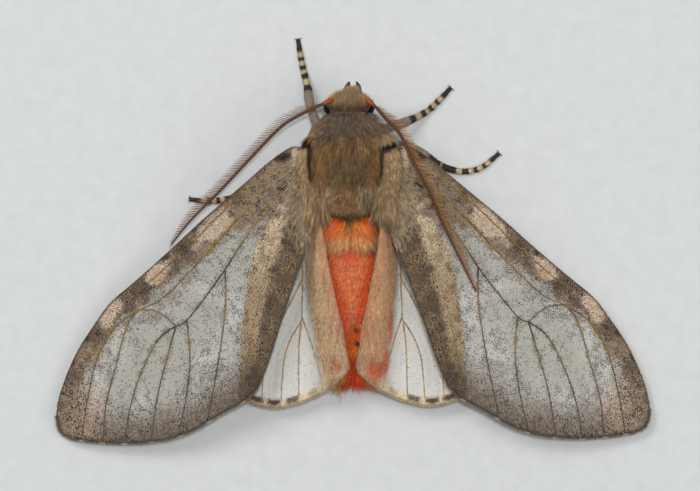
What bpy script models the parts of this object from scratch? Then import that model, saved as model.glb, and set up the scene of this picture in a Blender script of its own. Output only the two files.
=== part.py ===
"""Freckled glassy-wing moth at rest with its wings spread, life size, for Blender 4.5.

Everything is shaped in millimetres, and each finished piece is brought to metres once. The head
points to +Y, +Z is up, the floor that the feet stand on is z = 0, and x = 0 is the line that the
two forewings mirror in. Plan points are (out from that line, towards the head).
"""
import math
import random

import bmesh
import bpy
from mathutils import Matrix, Vector
from mathutils.geometry import delaunay_2d_cdt

for old in list(bpy.data.objects):
    bpy.data.objects.remove(old)
MOTH = bpy.data.collections.new("glassy_wing_moth")
bpy.context.scene.collection.children.link(MOTH)

# Driving sizes, in millimetres
GAP = 0.3                      # air kept between two pieces that touch in life
SHEET = 0.5                    # thickness of a wing
SIDES = {"left": -1, "right": 1}
METRES = 0.001                 # one millimetre in metres

# Thorax: the firm body under the coat, an ellipsoid whose long axis is the body's
THORAX = (Vector((-0.1, 5.3, 4.0)), Vector((3.4, 3.3, 2.3)))
COAT = 1.0                     # depth of the plates of hair that lie on the thorax

# Head, eyes and mouth palps
HEAD = (Vector((-0.05, 10.3, 3.4)), Vector((1.3, 1.05, 1.3)))
EYE_OUT, EYE_Y, EYE_Z, EYE_RADIUS = 1.35, 10.1, 3.25, 0.75
FACET_SLACK = 0.2              # a coarse ball's flat sides lie this much inside the true ball
PALP_TIPS = {"left": (-0.1, 11.7, 3.3), "right": (0.5, 11.6, 3.3)}
PALP_ROOT = (0.48, 10.75, 1.7)  # out from the head's middle, y and z
PALP_BEND = (11.65, 2.2)       # y and z of the palps' forward bend
PALP_RADII = (0.25, 0.28, 0.23, 0.1)

# Abdomen with its end tuft: y, half width, lowest and highest z. It leans 2 degrees in plan
ABDOMEN_STATIONS = (
    (2.6, 1.7, 1.7, 3.7),
    (0.6, 2.15, 1.1, 4.5),
    (-2.5, 2.2, 0.9, 4.4),
    (-5.5, 2.05, 0.8, 4.0),
    (-8.5, 1.75, 0.8, 3.2),
    (-10.3, 1.45, 0.85, 2.55),
    (-12.1, 2.1, 0.9, 1.55),
)
ABDOMEN_END = -10.6            # y where the firm abdomen stops and its tuft begins
ABDOMEN_ROOT = (-0.25, 2.0)    # plan point that the abdomen leans about
ABDOMEN_LEAN = math.radians(2.0)
SEGMENTS = 7                   # rings that show along the abdomen
SEGMENT_WAIST, END_WAIST = 0.12, 0.5   # how far it pulls in between rings, and at its end
ABDOMEN_SIDES = 16

# Forewing: outline, hinge end first, along the leading edge to the tip and back
FOREWING_OUTLINE = (
    (3.85, 5.2), (4.25, 7.0), (5.9, 6.05), (8.6, 3.8), (11.35, 1.5), (13.9, -0.8), (16.5, -3.05),
    (18.4, -4.65), (19.6, -6.2), (21.1, -8.5), (22.3, -11.3), (22.75, -13.3), (22.4, -14.65),
    (20.8, -15.2), (17.4, -15.5), (14.3, -15.2), (12.1, -14.45), (10.0, -13.15), (8.1, -12.1),
    (7.2, -11.2), (6.4, -9.2), (5.45, -6.3), (4.35, -3.1), (3.65, -1.2), (3.3, 1.0), (3.45, 3.2),
)
FOREWING_VEINS = {
    "subcosta": ((4.9, 5.9), (8.5, 3.0), (12.6, -0.9), (16.0, -3.8)),
    "radius": ((4.8, 5.2), (8.2, 2.0), (11.8, -1.8), (14.4, -4.3), (16.2, -5.2)),
    "radius_4": ((16.2, -5.2), (18.0, -6.4), (19.5, -8.8), (20.4, -12.4), (20.8, -14.6)),
    "radius_5": ((16.2, -5.2), (17.2, -6.4), (18.2, -9.8), (18.9, -12.4), (19.2, -14.9)),
    "cubitus": ((4.6, 4.4), (6.4, 2.2), (8.6, -0.3), (10.6, -3.6), (12.65, -6.1), (13.45, -6.5)),
    "cell_end": ((16.2, -5.2), (14.8, -5.4), (13.45, -6.5)),
    "media_2": ((13.5, -6.5), (14.9, -7.6), (16.2, -10.1), (17.1, -12.9), (17.5, -15.0)),
    "media_3": ((13.45, -6.5), (14.1, -8.7), (14.9, -11.7), (15.45, -14.8)),
    "cubitus_1": ((12.6, -6.1), (12.4, -8.6), (12.6, -11.2), (13.3, -14.4)),
    "cubitus_2": ((9.55, -2.4), (9.65, -5.3), (10.25, -9.4), (11.1, -13.1)),
    "anal": ((4.5, 3.6), (5.9, 0.0), (6.9, -4.0), (7.8, -8.0), (8.5, -11.7)),
}
FOREWING_ROOT_Z, FOREWING_TIP_Z = 4.7, 0.9
FOREWING_FALL = (4.0, 22.7, 1.5)   # x where the fall starts, x where it ends, and its power

# Hindwing: outline from its hinge along the inner edge that lies on the abdomen
HINDWING_OUTLINE = (
    (3.3, 3.9), (2.75, 2.7), (2.2, 1.3), (2.05, -0.3), (1.7, -2.1), (1.4, -3.7), (1.05, -5.4),
    (0.72, -6.8), (0.58, -8.2), (0.36, -9.3), (0.42, -9.95), (0.9, -10.4), (1.5, -10.95),
    (2.3, -11.6), (3.5, -12.2), (4.8, -12.6), (6.1, -12.75), (7.5, -12.45), (8.7, -11.85),
    (10.1, -10.8), (11.0, -9.2), (10.8, -7.4), (9.6, -4.4), (7.8, -1.4), (5.8, 1.5), (4.3, 3.3),
)
HINDWING_VEINS = {
    "stem": ((3.5, 2.6), (3.75, 0.2), (3.75, -3.0), (3.85, -6.2)),
    "cubitus_1": ((3.85, -6.2), (4.7, -7.6), (5.25, -9.3), (5.5, -11.9)),
    "cubitus_2": ((3.9, -6.5), (4.1, -8.4), (4.15, -11.8)),
    "anal": ((3.8, -6.0), (3.25, -7.6), (2.6, -9.8)),
    "media_3": ((3.75, -3.0), (5.4, -6.2), (6.6, -9.0), (7.0, -12.0)),
    "media_1": ((3.75, -1.0), (6.2, -3.6), (8.6, -7.0), (9.7, -10.4)),
}
HINDWING_FLAT_Z = 1.6          # height of its glassy part
HINDWING_ROOT = (3.1, 3.3)     # plan point of its hinge
HINDWING_RISE = (1.8, 7.0)     # how much higher the hinge is, and how far out that is felt

VEIN_WIDTH = (0.32, 0.2)       # half width of a vein's ridge at its root and at its end
VEIN_HEIGHT = (0.28, 0.18)     # height of the ridge there
MESH_STEP = 2.2                # spacing of a wing's inner points
FOLD_STEP, FOLD_OUT = 0.8, 4.2  # their spacing across the hindwing's fold, and how far out it is
FOLD_SLACK = 0.27              # room between the abdomen and the hindwing folded up beside it
FOLD_START, FOLD_WIDTH = 0.1, 1.35     # from the abdomen's side, where the fold goes down

# Legs: points along the thigh, the shin and the foot, each with its height
LEGS = {
    "foreleg_left": (
        ((-1.85, 7.6, 1.75), (-2.4, 8.6, 1.9), (-2.85, 9.6, 1.9)),
        ((-2.95, 10.0, 1.8), (-3.1, 10.8, 1.3), (-3.2, 11.5, 0.8)),
        ((-3.25, 11.9, 0.6), (-3.5, 12.9, 0.2), (-3.75, 14.2, 0.17), (-3.9, 15.5, 0.1)),
    ),
    "foreleg_right": (
        ((1.75, 7.6, 1.75), (2.4, 8.2, 1.9), (3.05, 8.5, 1.9)),
        ((3.45, 8.6, 1.8), (4.1, 8.85, 1.3), (4.8, 9.15, 0.8)),
        ((5.15, 9.3, 0.6), (5.95, 9.75, 0.2), (6.9, 10.6, 0.17), (7.85, 11.6, 0.1)),
    ),
    "midleg_left": (
        ((-2.35, 5.6, 1.55), (-3.7, 5.7, 1.9), (-5.1, 5.5, 1.9)),
        ((-5.5, 5.3, 1.8), (-6.9, 4.5, 1.3), (-8.3, 3.65, 0.7)),
        ((-8.7, 3.45, 0.5), (-9.6, 3.15, 0.2), (-11.0, 3.05, 0.17), (-12.5, 3.2, 0.1)),
    ),
    "midleg_right": (
        ((2.15, 5.8, 1.55), (2.9, 6.6, 1.9), (3.7, 7.2, 1.9)),
        ((4.25, 7.1, 1.8), (5.4, 6.55, 1.3), (6.6, 5.75, 0.7)),
        ((7.0, 5.5, 0.5), (8.4, 5.1, 0.2), (10.0, 5.35, 0.17), (11.5, 6.5, 0.1)),
    ),
    "hindleg_left": (
        ((-2.1, 3.6, 1.5), (-3.3, 2.9, 1.4), (-4.4, 2.0, 1.25)),
        ((-4.75, 1.6, 1.15), (-6.0, -0.8, 0.75), (-7.0, -3.2, 0.5)),
        ((-7.2, -3.65, 0.4), (-7.6, -4.9, 0.2), (-8.0, -6.3, 0.17), (-8.5, -7.9, 0.1)),
    ),
    "hindleg_right": (
        ((1.95, 3.6, 1.5), (3.2, 2.9, 1.4), (4.3, 2.0, 1.25)),
        ((4.65, 1.6, 1.15), (5.9, -0.8, 0.75), (6.9, -3.2, 0.5)),
        ((7.1, -3.65, 0.4), (7.5, -4.9, 0.2), (7.9, -6.3, 0.17), (8.4, -7.9, 0.1)),
    ),
}
LEG_PARTS = {"thigh": (0.36, 0.42, 0.33), "shin": (0.3, 0.34, 0.3), "foot": (0.26, 0.26, 0.13)}

# Feelers: points along the shaft from the head to the tip
FEELERS = {
    "left": ((-1.25, 10.6, 4.55), (-2.4, 10.05, 4.9), (-3.8, 9.4, 5.0), (-5.3, 8.45, 4.9),
             (-7.6, 6.15, 4.6), (-9.9, 3.75, 4.3), (-12.2, 1.5, 3.8), (-13.7, -0.3, 3.3)),
    "right": ((1.15, 10.6, 4.55), (1.9, 10.0, 4.95), (2.75, 9.0, 5.4), (3.75, 7.85, 6.1),
              (4.65, 5.9, 6.5), (5.9, 3.5, 6.3), (7.1, 0.7, 5.6), (9.4, -4.1, 4.4)),
}
SHAFT_RADIUS = (0.3, 0.26, 0.12)   # at the head, along most of its length, and at the tip
BRANCH_STEP = 0.95             # spacing of the branches along one side of a feeler
BRANCH_LENGTH = 1.25
BRANCH_ROWS = ((1.0, 0.12), (0.25, -1.0))   # how far each row reaches out and up
BRANCH_SWEEP = 0.85            # how far a branch leans towards the tip
BRANCH_RADII = (0.2, 0.15, 0.05)
FIRST_BRANCH, BARE_TIP = 1.7, 0.5      # lengths without branches at the head and at the tip

# Locks of long hair: where along a lock its sections lie, how wide each is, and their sizes
LOCK_SHARES = (0.0, 0.3, 0.6, 0.85, 1.0)
LOCK_TAPER = (0.55, 1.0, 0.8, 0.45)
LOCK_SINK = 0.35               # how deep a lock is rooted
LOCK_THICK = 0.42
LOCK_LENGTH, LOCK_WIDTH = 1.9, 1.15    # on the back
BACK_ROWS = (70, 84, 98, 112, 126)     # where the rows start, in degrees back from the front
BACK_COLUMNS = (-24, -8, 8, 24)        # in degrees to each side of the top
FRINGE_ROW, FRINGE_COLUMNS = 136, (-30, -10, 10, 30)
COLLAR_ROWS = ((24, 6), (36, 8))       # start of each row, and its number of locks
COLLAR_SIDE = 84                       # how far down the sides they go, in degrees from the top
TEGULA_SPREAD = (45, 69)               # the flap's extent, in degrees from the top
TEGULA_ROWS = (68, 88, 108, 128)
TEGULA_COLUMNS = (51, 62)
HEAD_LOCKS = ((62, -50, 1.2), (62, 50, 1.2), (70, -25, 1.3), (70, 25, 1.3), (60, 0, 1.35),
              (82, 0, 1.2))            # degrees from the front and from the top, and length
RUMP_ROWS = ((1.3, (-32, -11, 11, 32)), (0.4, (-24, 0, 24)))   # y, and degrees from the top
TUFT_ROWS = ((0.1, 1.0, (-0.95, -0.68, -0.4, 0.4, 0.68, 0.95)),
             (-0.35, 0.95, (-0.85, -0.5, 0.5, 0.85)))          # drop, reach, and places across

HAIR = random.Random(7)        # seeded, so that the locks come out the same each time


# Shapes: each helper returns corners and faces in millimetres

def smooth_path(points, steps):
    """Points of a Catmull-Rom curve through the given ones, with steps to a span."""
    knots = [Vector(p) for p in points]
    knots = [knots[0] * 2 - knots[1]] + knots + [knots[-1] * 2 - knots[-2]]
    path = []
    for a, b, c, d in zip(knots, knots[1:], knots[2:], knots[3:]):
        for step in range(steps):
            t = step / steps
            path.append(0.5 * (2 * b + (c - a) * t + (2 * a - 5 * b + 4 * c - d) * t * t
                               + (3 * b - 3 * c + d - a) * t ** 3))
    return path + [knots[-2]]


def closed_path(points, steps):
    """Points of a closed Catmull-Rom loop through the given ones."""
    knots = [Vector(p) for p in points]
    count = len(knots)
    loop = []
    for i in range(count):
        a, b, c, d = (knots[(i + k - 1) % count] for k in range(4))
        for step in range(steps):
            t = step / steps
            loop.append(0.5 * (2 * b + (c - a) * t + (2 * a - 5 * b + 4 * c - d) * t * t
                               + (3 * b - 3 * c + d - a) * t ** 3))
    return loop


def along(values, share):
    """The value at a share of the way, 0 to 1, through a few evenly spaced ones."""
    place = share * (len(values) - 1)
    first = min(int(place), len(values) - 2)
    return values[first] + (values[first + 1] - values[first]) * (place - first)


def loft(rings, tip=None):
    """A closed skin over rings of equally many corners, capped flat or with a point at the end."""
    size = len(rings[0])
    corners = [corner for ring in rings for corner in ring]
    faces = [tuple(range(size))]
    for row in range(len(rings) - 1):
        for i in range(size):
            j = (i + 1) % size
            low, high = row * size, (row + 1) * size
            faces.append((low + i, low + j, high + j, high + i))
    last = (len(rings) - 1) * size
    if tip is None:
        faces.append(tuple(range(last, last + size)))
    else:
        corners.append(tip)
        faces += [(last + i, last + (i + 1) % size, len(corners) - 1) for i in range(size)]
    return corners, faces


def tube(path, radii, sides, pointed=False):
    """A round rod along a path, its radius running through the given ones."""
    rings = []
    count = len(path) - 1 if pointed else len(path)
    for i in range(count):
        ahead = (path[min(i + 1, len(path) - 1)] - path[max(i - 1, 0)]).normalized()
        across = ahead.cross(Vector((0, 0, 1))).normalized()
        over = across.cross(ahead)
        radius = along(radii, i / (len(path) - 1))
        turns = [math.pi * ((2 * k + 1) / sides - 0.5) for k in range(sides)]
        rings.append([path[i] + (across * math.cos(a) + over * math.sin(a)) * radius
                      for a in turns])
    return loft(rings, path[-1] if pointed else None)


def lock(path, outward, width, depth):
    """A flat lock of hair along a path: a lozenge section that tapers to a point."""
    rings = []
    for i, point in enumerate(path[:-1]):
        ahead = (path[i + 1] - point).normalized()
        across = ahead.cross(outward[i]).normalized()
        over = across.cross(ahead)
        half = width / 2 * LOCK_TAPER[i]
        thick = depth / 2 * LOCK_TAPER[i]
        rings.append([point + across * half, point + over * thick,
                      point - across * half, point - over * thick])
    return loft(rings, path[-1])


def on_ellipsoid(core, polar, azimuth, height):
    """A point at a height over an ellipsoid, and the outward direction there.

    polar is measured from the front, +Y, and azimuth from the top round to +X, in degrees.
    """
    centre, radii = core
    down, turn = math.radians(polar), math.radians(azimuth)
    unit = Vector((math.sin(down) * math.sin(turn), math.cos(down),
                   math.sin(down) * math.cos(turn)))
    point = Vector([radii[k] * unit[k] for k in range(3)])
    normal = Vector([point[k] / radii[k] ** 2 for k in range(3)]).normalized()
    return centre + point + normal * height, normal


def ellipsoid_lock(core, polar, azimuth, length, width, lift, base=0.0):
    """A lock that lies backwards over an ellipsoid and rises from it towards its tip."""
    reach = math.degrees(length / max(core[1]))
    wander = HAIR.uniform(-4, 4)
    path, outward = [], []
    for share in LOCK_SHARES:
        height = base - LOCK_SINK + (LOCK_SINK + lift) * share ** 0.8
        point, normal = on_ellipsoid(core, polar + reach * share, azimuth + wander * share, height)
        path.append(point)
        outward.append(normal)
    return lock(path, outward, width * HAIR.uniform(0.9, 1.1), LOCK_THICK)


def ellipsoid_plate(core, polars, azimuths, steps, low, thick):
    """A cushion-shaped plate over part of an ellipsoid, thinner towards its rim."""
    rows, columns = steps
    inner, outer = [], []
    for row in range(rows + 1):
        for column in range(columns + 1):
            u, v = row / rows, column / columns
            polar = polars[0] + (polars[1] - polars[0]) * u
            azimuth = azimuths[0] + (azimuths[1] - azimuths[0]) * v
            crown = (1 - abs(2 * u - 1) ** 3) * (1 - abs(2 * v - 1) ** 3)
            inner.append(on_ellipsoid(core, polar, azimuth, low)[0])
            outer.append(on_ellipsoid(core, polar, azimuth, low + thick * (0.5 + 0.5 * crown))[0])
    width = columns + 1
    count = len(inner)
    faces = []
    for row in range(rows):
        for column in range(columns):
            a = row * width + column
            for x, y, z in ((a, a + 1, a + width + 1), (a, a + width + 1, a + width)):
                faces.append((x, y, z))
                faces.append((x + count, z + count, y + count))
    rim = ([k for k in range(width)] + [k * width + columns for k in range(1, rows + 1)]
           + [rows * width + k for k in range(columns - 1, -1, -1)]
           + [k * width for k in range(rows - 1, 0, -1)])
    for a, b in zip(rim, rim[1:] + rim[:1]):
        faces.append((a, b, b + count, a + count))
    return inner + outer, faces


# Objects

def material(name, colour, roughness):
    """A finish with one colour, given as an sRGB hex value, made the first time it is asked for."""
    if name in bpy.data.materials:
        return bpy.data.materials[name]
    made = bpy.data.materials.new(name)
    made.use_nodes = True
    shader = made.node_tree.nodes["Principled BSDF"]
    channels = [int(colour[i:i + 2], 16) / 255 for i in (1, 3, 5)]
    linear = [c / 12.92 if c <= 0.04045 else ((c + 0.055) / 1.055) ** 2.4 for c in channels]
    shader.inputs["Base Color"].default_value = (*linear, 1.0)
    shader.inputs["Roughness"].default_value = roughness
    return made


FINISHES = {
    "brown_hair": ("#7d6c58", 0.85),
    "grey_hair": ("#6b5f55", 0.85),
    "orange_hair": ("#d9502c", 0.8),
    "black_eye": ("#15100c", 0.15),
    "feeler_brown": ("#6b4728", 0.55),
    "leg_scale": ("#8f7d66", 0.7),
    "forewing_scale": ("#a39c93", 0.6),
    "hindwing_scale": ("#c4bdb2", 0.45),
}


def mesh_of(name, shape):
    """A mesh whose faces point outwards, from corners and faces."""
    corners, faces = shape
    mesh = bpy.data.meshes.new(name)
    mesh.from_pydata([tuple(c) for c in corners], [], faces)
    work = bmesh.new()
    work.from_mesh(mesh)
    bmesh.ops.recalc_face_normals(work, faces=work.faces)
    work.to_mesh(mesh)
    work.free()
    return mesh


def piece(name, mesh, finish, smooth_angle=50):
    """The finished object of a mesh in millimetres, brought to metres."""
    mesh.name = name
    mesh.transform(Matrix.Scale(METRES, 4))
    mesh.materials.clear()
    mesh.materials.append(material(finish, *FINISHES[finish]))
    mesh.shade_smooth()
    mesh.set_sharp_from_angle(angle=math.radians(smooth_angle))
    made = bpy.data.objects.new(name, mesh)
    MOTH.objects.link(made)
    return made


def round_form(core, segments, rings):
    """A mesh of an ellipsoid."""
    work = bmesh.new()
    bmesh.ops.create_uvsphere(work, u_segments=segments, v_segments=rings, radius=1.0)
    centre, radii = core
    place = Matrix.Translation(centre) @ Matrix.Diagonal((*radii, 1.0))
    bmesh.ops.transform(work, matrix=place, verts=work.verts)
    mesh = bpy.data.meshes.new("round")
    work.to_mesh(mesh)
    work.free()
    return mesh


def grown(core, extra):
    """An ellipsoid larger all round by a width."""
    return core[0], core[1] + Vector((extra, extra, extra))


def largest_surface(mesh):
    """Leaves only the closed surface that holds most."""
    work = bmesh.new()
    work.from_mesh(mesh)
    left = set(work.verts)
    surfaces = []
    while left:
        start = left.pop()
        found, queue = {start}, [start]
        while queue:
            for edge in queue.pop().link_edges:
                for vert in edge.verts:
                    if vert not in found:
                        found.add(vert)
                        queue.append(vert)
        left -= found
        surfaces.append(found)

    def held(verts):
        """The volume inside a surface, from its fan of face corners."""
        total = 0.0
        for face in {f for v in verts for f in v.link_faces}:
            a = face.verts[0].co
            for b, c in zip(face.verts[1:], face.verts[2:]):
                total += a.dot(b.co.cross(c.co)) / 6
        return total

    surfaces.sort(key=held)
    loose = [v for verts in surfaces[:-1] for v in verts]
    bmesh.ops.delete(work, geom=loose, context="VERTS")
    work.to_mesh(mesh)
    work.free()
    return mesh


def combined(mesh, others, operation="UNION"):
    """A mesh joined with, or cut by, a list of closed meshes in one Boolean."""
    base = bpy.data.objects.new("base", mesh)
    bpy.context.scene.collection.objects.link(base)
    group = bpy.data.collections.new("pieces")
    bpy.context.scene.collection.children.link(group)
    for other in others:
        group.objects.link(bpy.data.objects.new("other", other))
    boolean = base.modifiers.new("join", "BOOLEAN")
    boolean.operation = operation
    boolean.operand_type = "COLLECTION"
    boolean.collection = group
    boolean.solver = "EXACT"
    graph = bpy.context.evaluated_depsgraph_get()
    result = bpy.data.meshes.new_from_object(base.evaluated_get(graph))
    for extra in list(group.objects) + [base]:
        bpy.data.objects.remove(extra)
    bpy.data.collections.remove(group)
    return largest_surface(result)


def locked(mesh, locks):
    """A mesh with its locks of hair joined on."""
    return combined(mesh, [mesh_of("lock", shape) for shape in locks])


# Wings

def forewing_height(x, y):
    """Top of the forewing: it falls from the hinge and flattens out towards its tip."""
    start, end, power = FOREWING_FALL
    share = min(max((x - start) / (end - start), 0.0), 1.0)
    return FOREWING_TIP_Z + (FOREWING_ROOT_Z - FOREWING_TIP_Z) * (1 - share) ** power


def abdomen_size(y):
    """Half width, lowest and highest z of the abdomen and its tuft at a y."""
    stations = ABDOMEN_STATIONS
    for near, far in zip(stations, stations[1:]):
        if y >= far[0]:
            share = min(max((near[0] - y) / (near[0] - far[0]), 0.0), 1.0)
            ease = share * share * (3 - 2 * share)
            return tuple(near[k] + (far[k] - near[k]) * ease for k in (1, 2, 3))
    return stations[-1][1:]


def hindwing_height(x, y):
    """Top of the hindwing: glassy part low, inner part folded up along the abdomen's side."""
    rise, reach = HINDWING_RISE
    away = math.hypot(x - HINDWING_ROOT[0], y - HINDWING_ROOT[1])
    flat = HINDWING_FLAT_Z + rise * max(0.0, 1 - away / reach) ** 1.5
    half, low, high = abdomen_size(y)
    clear = GAP + SHEET + FOLD_SLACK
    middle = (low + high) / 2
    bulge = max(0.0, 1 - (x / (half + clear + FOLD_SLACK)) ** 2)
    side = middle + ((high - low) / 2 + clear) * math.sqrt(bulge)
    share = min(max((x - half - FOLD_START) / FOLD_WIDTH, 0.0), 1.0)
    ease = share * share * (3 - 2 * share)
    return side + (flat - side) * ease if side > flat else flat


def vein_lines(veins, steps):
    """Each vein as a smooth line with its widths and heights."""
    return [(smooth_path(points, steps), VEIN_WIDTH, VEIN_HEIGHT) for points in veins.values()]


def ridge_height(point, lines):
    """How far the veins raise the wing at a plan point."""
    best = 0.0
    for line, widths, heights in lines:
        for i, (a, b) in enumerate(zip(line, line[1:])):
            run = b - a
            share = min(max((point - a).dot(run) / run.length_squared, 0.0), 1.0)
            distance = (point - a - run * share).length
            place = (i + share) / (len(line) - 1)
            width = along(widths, place)
            best = max(best, along(heights, place) * (1 - distance / width))
    return best


def wing_plan(outline, lines, fold_step):
    """Splits a wing's plan into triangles that have the veins' middles and edges as edges."""
    points = list(outline)
    edges = [(i, (i + 1) % len(outline)) for i in range(len(outline))]
    for line, widths, _ in lines:
        for side in (-1, 0, 1):
            first = len(points)
            for i, point in enumerate(line):
                ahead = (line[min(i + 1, len(line) - 1)] - line[max(i - 1, 0)]).normalized()
                offset = Vector((-ahead.y, ahead.x)) * along(widths, i / (len(line) - 1))
                points.append(point + offset * side)
            edges += [(k, k + 1) for k in range(first, len(points) - 1)]
    fixed = list(points)
    xs, ys = [p.x for p in outline], [p.y for p in outline]
    y = min(ys)
    while y < max(ys):
        x = min(xs)
        while x < max(xs):
            point = Vector((x, y))
            step = fold_step if x < FOLD_OUT else MESH_STEP
            if min((point - other).length for other in fixed) > step * 0.45:
                points.append(point)
            x += step
        y += (fold_step + MESH_STEP) / 2
    corners, _, faces, *_ = delaunay_2d_cdt(points, edges, [list(range(len(outline)))], 1, 0.06)
    used = sorted({k for face in faces for k in face})
    renumbered = {old: new for new, old in enumerate(used)}
    return [corners[k] for k in used], [[renumbered[k] for k in face] for face in faces]


def wing(name, outline_points, veins, height, fold_step, finish):
    """A thin bent wing with its veins raised on top, one for each side."""
    outline = closed_path(outline_points, 2)
    lines = vein_lines(veins, 2)
    plan, triangles = wing_plan(outline, lines, fold_step)
    step = 0.05
    top, bottom = [], []
    for point in plan:
        x, y = point
        slope_x = (height(x + step, y) - height(x - step, y)) / (2 * step)
        slope_y = (height(x, y + step) - height(x, y - step)) / (2 * step)
        normal = Vector((-slope_x, -slope_y, 1)).normalized()
        base = Vector((x, y, height(x, y)))
        top.append(base + normal * ridge_height(point, lines))
        bottom.append(base - normal * SHEET)
    count = len(plan)
    faces = []
    rim = {}
    for a, b, c in triangles:
        faces.append((a, b, c))
        faces.append((a + count, c + count, b + count))
        for pair in ((a, b), (b, c), (c, a)):
            if pair[::-1] in rim:
                del rim[pair[::-1]]
            else:
                rim[pair] = True
    for a, b in rim:
        faces += [(b, a, a + count), (b, a + count, b + count)]
    for side, sign in SIDES.items():
        corners = [Vector((p.x * sign, p.y, p.z)) for p in top + bottom]
        piece(f"{name}_{side}", mesh_of(name, (corners, faces)), finish, 40)


# Body

def thorax():
    """The middle of the body, with the long hair of its back as overlapping locks."""
    locks = []
    for row, polar in enumerate(BACK_ROWS):
        for column in BACK_COLUMNS:
            azimuth = column + (3 if row % 2 else -3)
            locks.append(ellipsoid_lock(THORAX, polar, azimuth, LOCK_LENGTH, LOCK_WIDTH,
                                        COAT * 0.75))
    for azimuth in FRINGE_COLUMNS:
        locks.append(ellipsoid_lock(THORAX, FRINGE_ROW, azimuth, LOCK_LENGTH - 0.3, LOCK_WIDTH,
                                    COAT * 0.9))
    mesh = locked(round_form(THORAX, 20, 12), locks)
    piece("thorax", mesh, "brown_hair")


def collar():
    """The plates of hair right behind the head."""
    plate = ellipsoid_plate(THORAX, (17, 56), (-118, 118), (3, 14), GAP, COAT * 0.7)
    locks = []
    for polar, columns in COLLAR_ROWS:
        for column in range(columns):
            azimuth = COLLAR_SIDE * (2 * column / (columns - 1) - 1)
            locks.append(ellipsoid_lock(THORAX, polar, azimuth, LOCK_WIDTH, LOCK_WIDTH, 0.3,
                                        COAT * 0.95))
    piece("collar", locked(mesh_of("collar", plate), locks), "grey_hair")


def tegulae():
    """The hairy flap over each wing's root."""
    for side, sign in SIDES.items():
        spread = sorted(sign * turn for turn in TEGULA_SPREAD)
        plate = ellipsoid_plate(THORAX, (63, 138), spread, (6, 3), GAP, COAT * 0.6)
        locks = []
        for row, polar in enumerate(TEGULA_ROWS):
            for column in TEGULA_COLUMNS:
                azimuth = sign * (column + (2 if row % 2 else -2))
                locks.append(ellipsoid_lock(THORAX, polar, azimuth, LOCK_LENGTH, LOCK_WIDTH, 0.3,
                                            COAT * 0.85))
        piece(f"tegula_{side}", locked(mesh_of("tegula", plate), locks), "brown_hair")


def head():
    """The head with the sockets of its eyes, and the tuft that stands forward of it."""
    sockets = [round_form(grown(eye_core(side), GAP + FACET_SLACK), 16, 10) for side in SIDES]
    mesh = combined(round_form(HEAD, 20, 12), sockets, "DIFFERENCE")
    locks = []
    for polar, azimuth, length in HEAD_LOCKS:
        forward = ellipsoid_path_forward(HEAD, polar, azimuth, length)
        locks.append(lock(*forward, 1.0, 0.5))
    piece("head", locked(mesh, locks), "brown_hair")


def ellipsoid_path_forward(core, polar, azimuth, length):
    """A lock's path that lies forwards over an ellipsoid."""
    reach = math.degrees(length / max(core[1]))
    path, outward = [], []
    for share in LOCK_SHARES:
        point, normal = on_ellipsoid(core, polar - reach * share * 0.6, azimuth,
                                     0.6 * share - LOCK_SINK)
        path.append(point + Vector((0, 0.55 * share ** 2, 0)))
        outward.append(normal)
    return path, outward


def eye_core(side):
    """Centre and radii of an eye."""
    centre = Vector((HEAD[0].x + SIDES[side] * EYE_OUT, EYE_Y, EYE_Z))
    return centre, Vector((EYE_RADIUS, EYE_RADIUS, EYE_RADIUS))


def eyes():
    """Round compound eyes, set into the sides of the head."""
    for side in SIDES:
        piece(f"eye_{side}", round_form(eye_core(side), 12, 8), "black_eye")


def palps():
    """The two short feelers of the mouth, which curve up in front of the face."""
    for side, sign in SIDES.items():
        tip = Vector(PALP_TIPS[side])
        start = Vector((HEAD[0].x + sign * PALP_ROOT[0], *PALP_ROOT[1:]))
        bend = Vector(((start.x + tip.x) / 2, *PALP_BEND))
        path = smooth_path((start, bend, tip), 3)
        mesh = mesh_of("palp", tube(path, PALP_RADII, 7, pointed=True))
        piece(f"palp_{side}", mesh, "brown_hair")


def leaned(mesh):
    """Turns a shape that lies along x = 0 to the abdomen's lean."""
    x, y = ABDOMEN_ROOT
    mesh.transform(Matrix.Translation((x, y, 0)) @ Matrix.Rotation(ABDOMEN_LEAN, 4, "Z")
                   @ Matrix.Translation((0, -y, 0)))
    return mesh


def abdomen_point(y, azimuth, height):
    """A point over the abdomen's skin, with the azimuth measured from its top, in degrees."""
    half, low, high = abdomen_size(y)
    turn = math.radians(azimuth)
    normal = Vector((math.sin(turn), 0, math.cos(turn)))
    point = Vector((half * normal.x, y, (low + high) / 2 + (high - low) / 2 * normal.z))
    return point + normal * height, normal


def abdomen():
    """Seven rings of the abdomen, with the long hair of its base, cut clear of the thorax."""
    start = ABDOMEN_STATIONS[0][0]
    rings = []
    steps = SEGMENTS * 2
    for step in range(steps + 1):
        y = start + (ABDOMEN_END - start) * step / steps
        waist = SEGMENT_WAIST if step % 2 == 0 else 0.0
        if step == steps:
            waist = END_WAIST
        turns = [360 * k / ABDOMEN_SIDES for k in range(ABDOMEN_SIDES)]
        rings.append([abdomen_point(y, turn, -waist)[0] for turn in turns])
    mesh = leaned(mesh_of("abdomen", loft(rings)))
    mesh = combined(mesh, [round_form(grown(THORAX, GAP), 24, 14)], "DIFFERENCE")
    locks = []
    for y, azimuths in RUMP_ROWS:
        for azimuth in azimuths:
            path, outward = [], []
            for share in LOCK_SHARES:
                point, normal = abdomen_point(y - (LOCK_LENGTH - 0.1) * share, azimuth,
                                              0.6 * share ** 0.8 - 0.3)
                path.append(point)
                outward.append(normal)
            locks.append(lock(path, outward, 0.9 * HAIR.uniform(0.9, 1.1), LOCK_THICK))
    joined = combined(mesh, [leaned(mesh_of("lock", shape)) for shape in locks])
    piece("abdomen", joined, "orange_hair")


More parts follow.
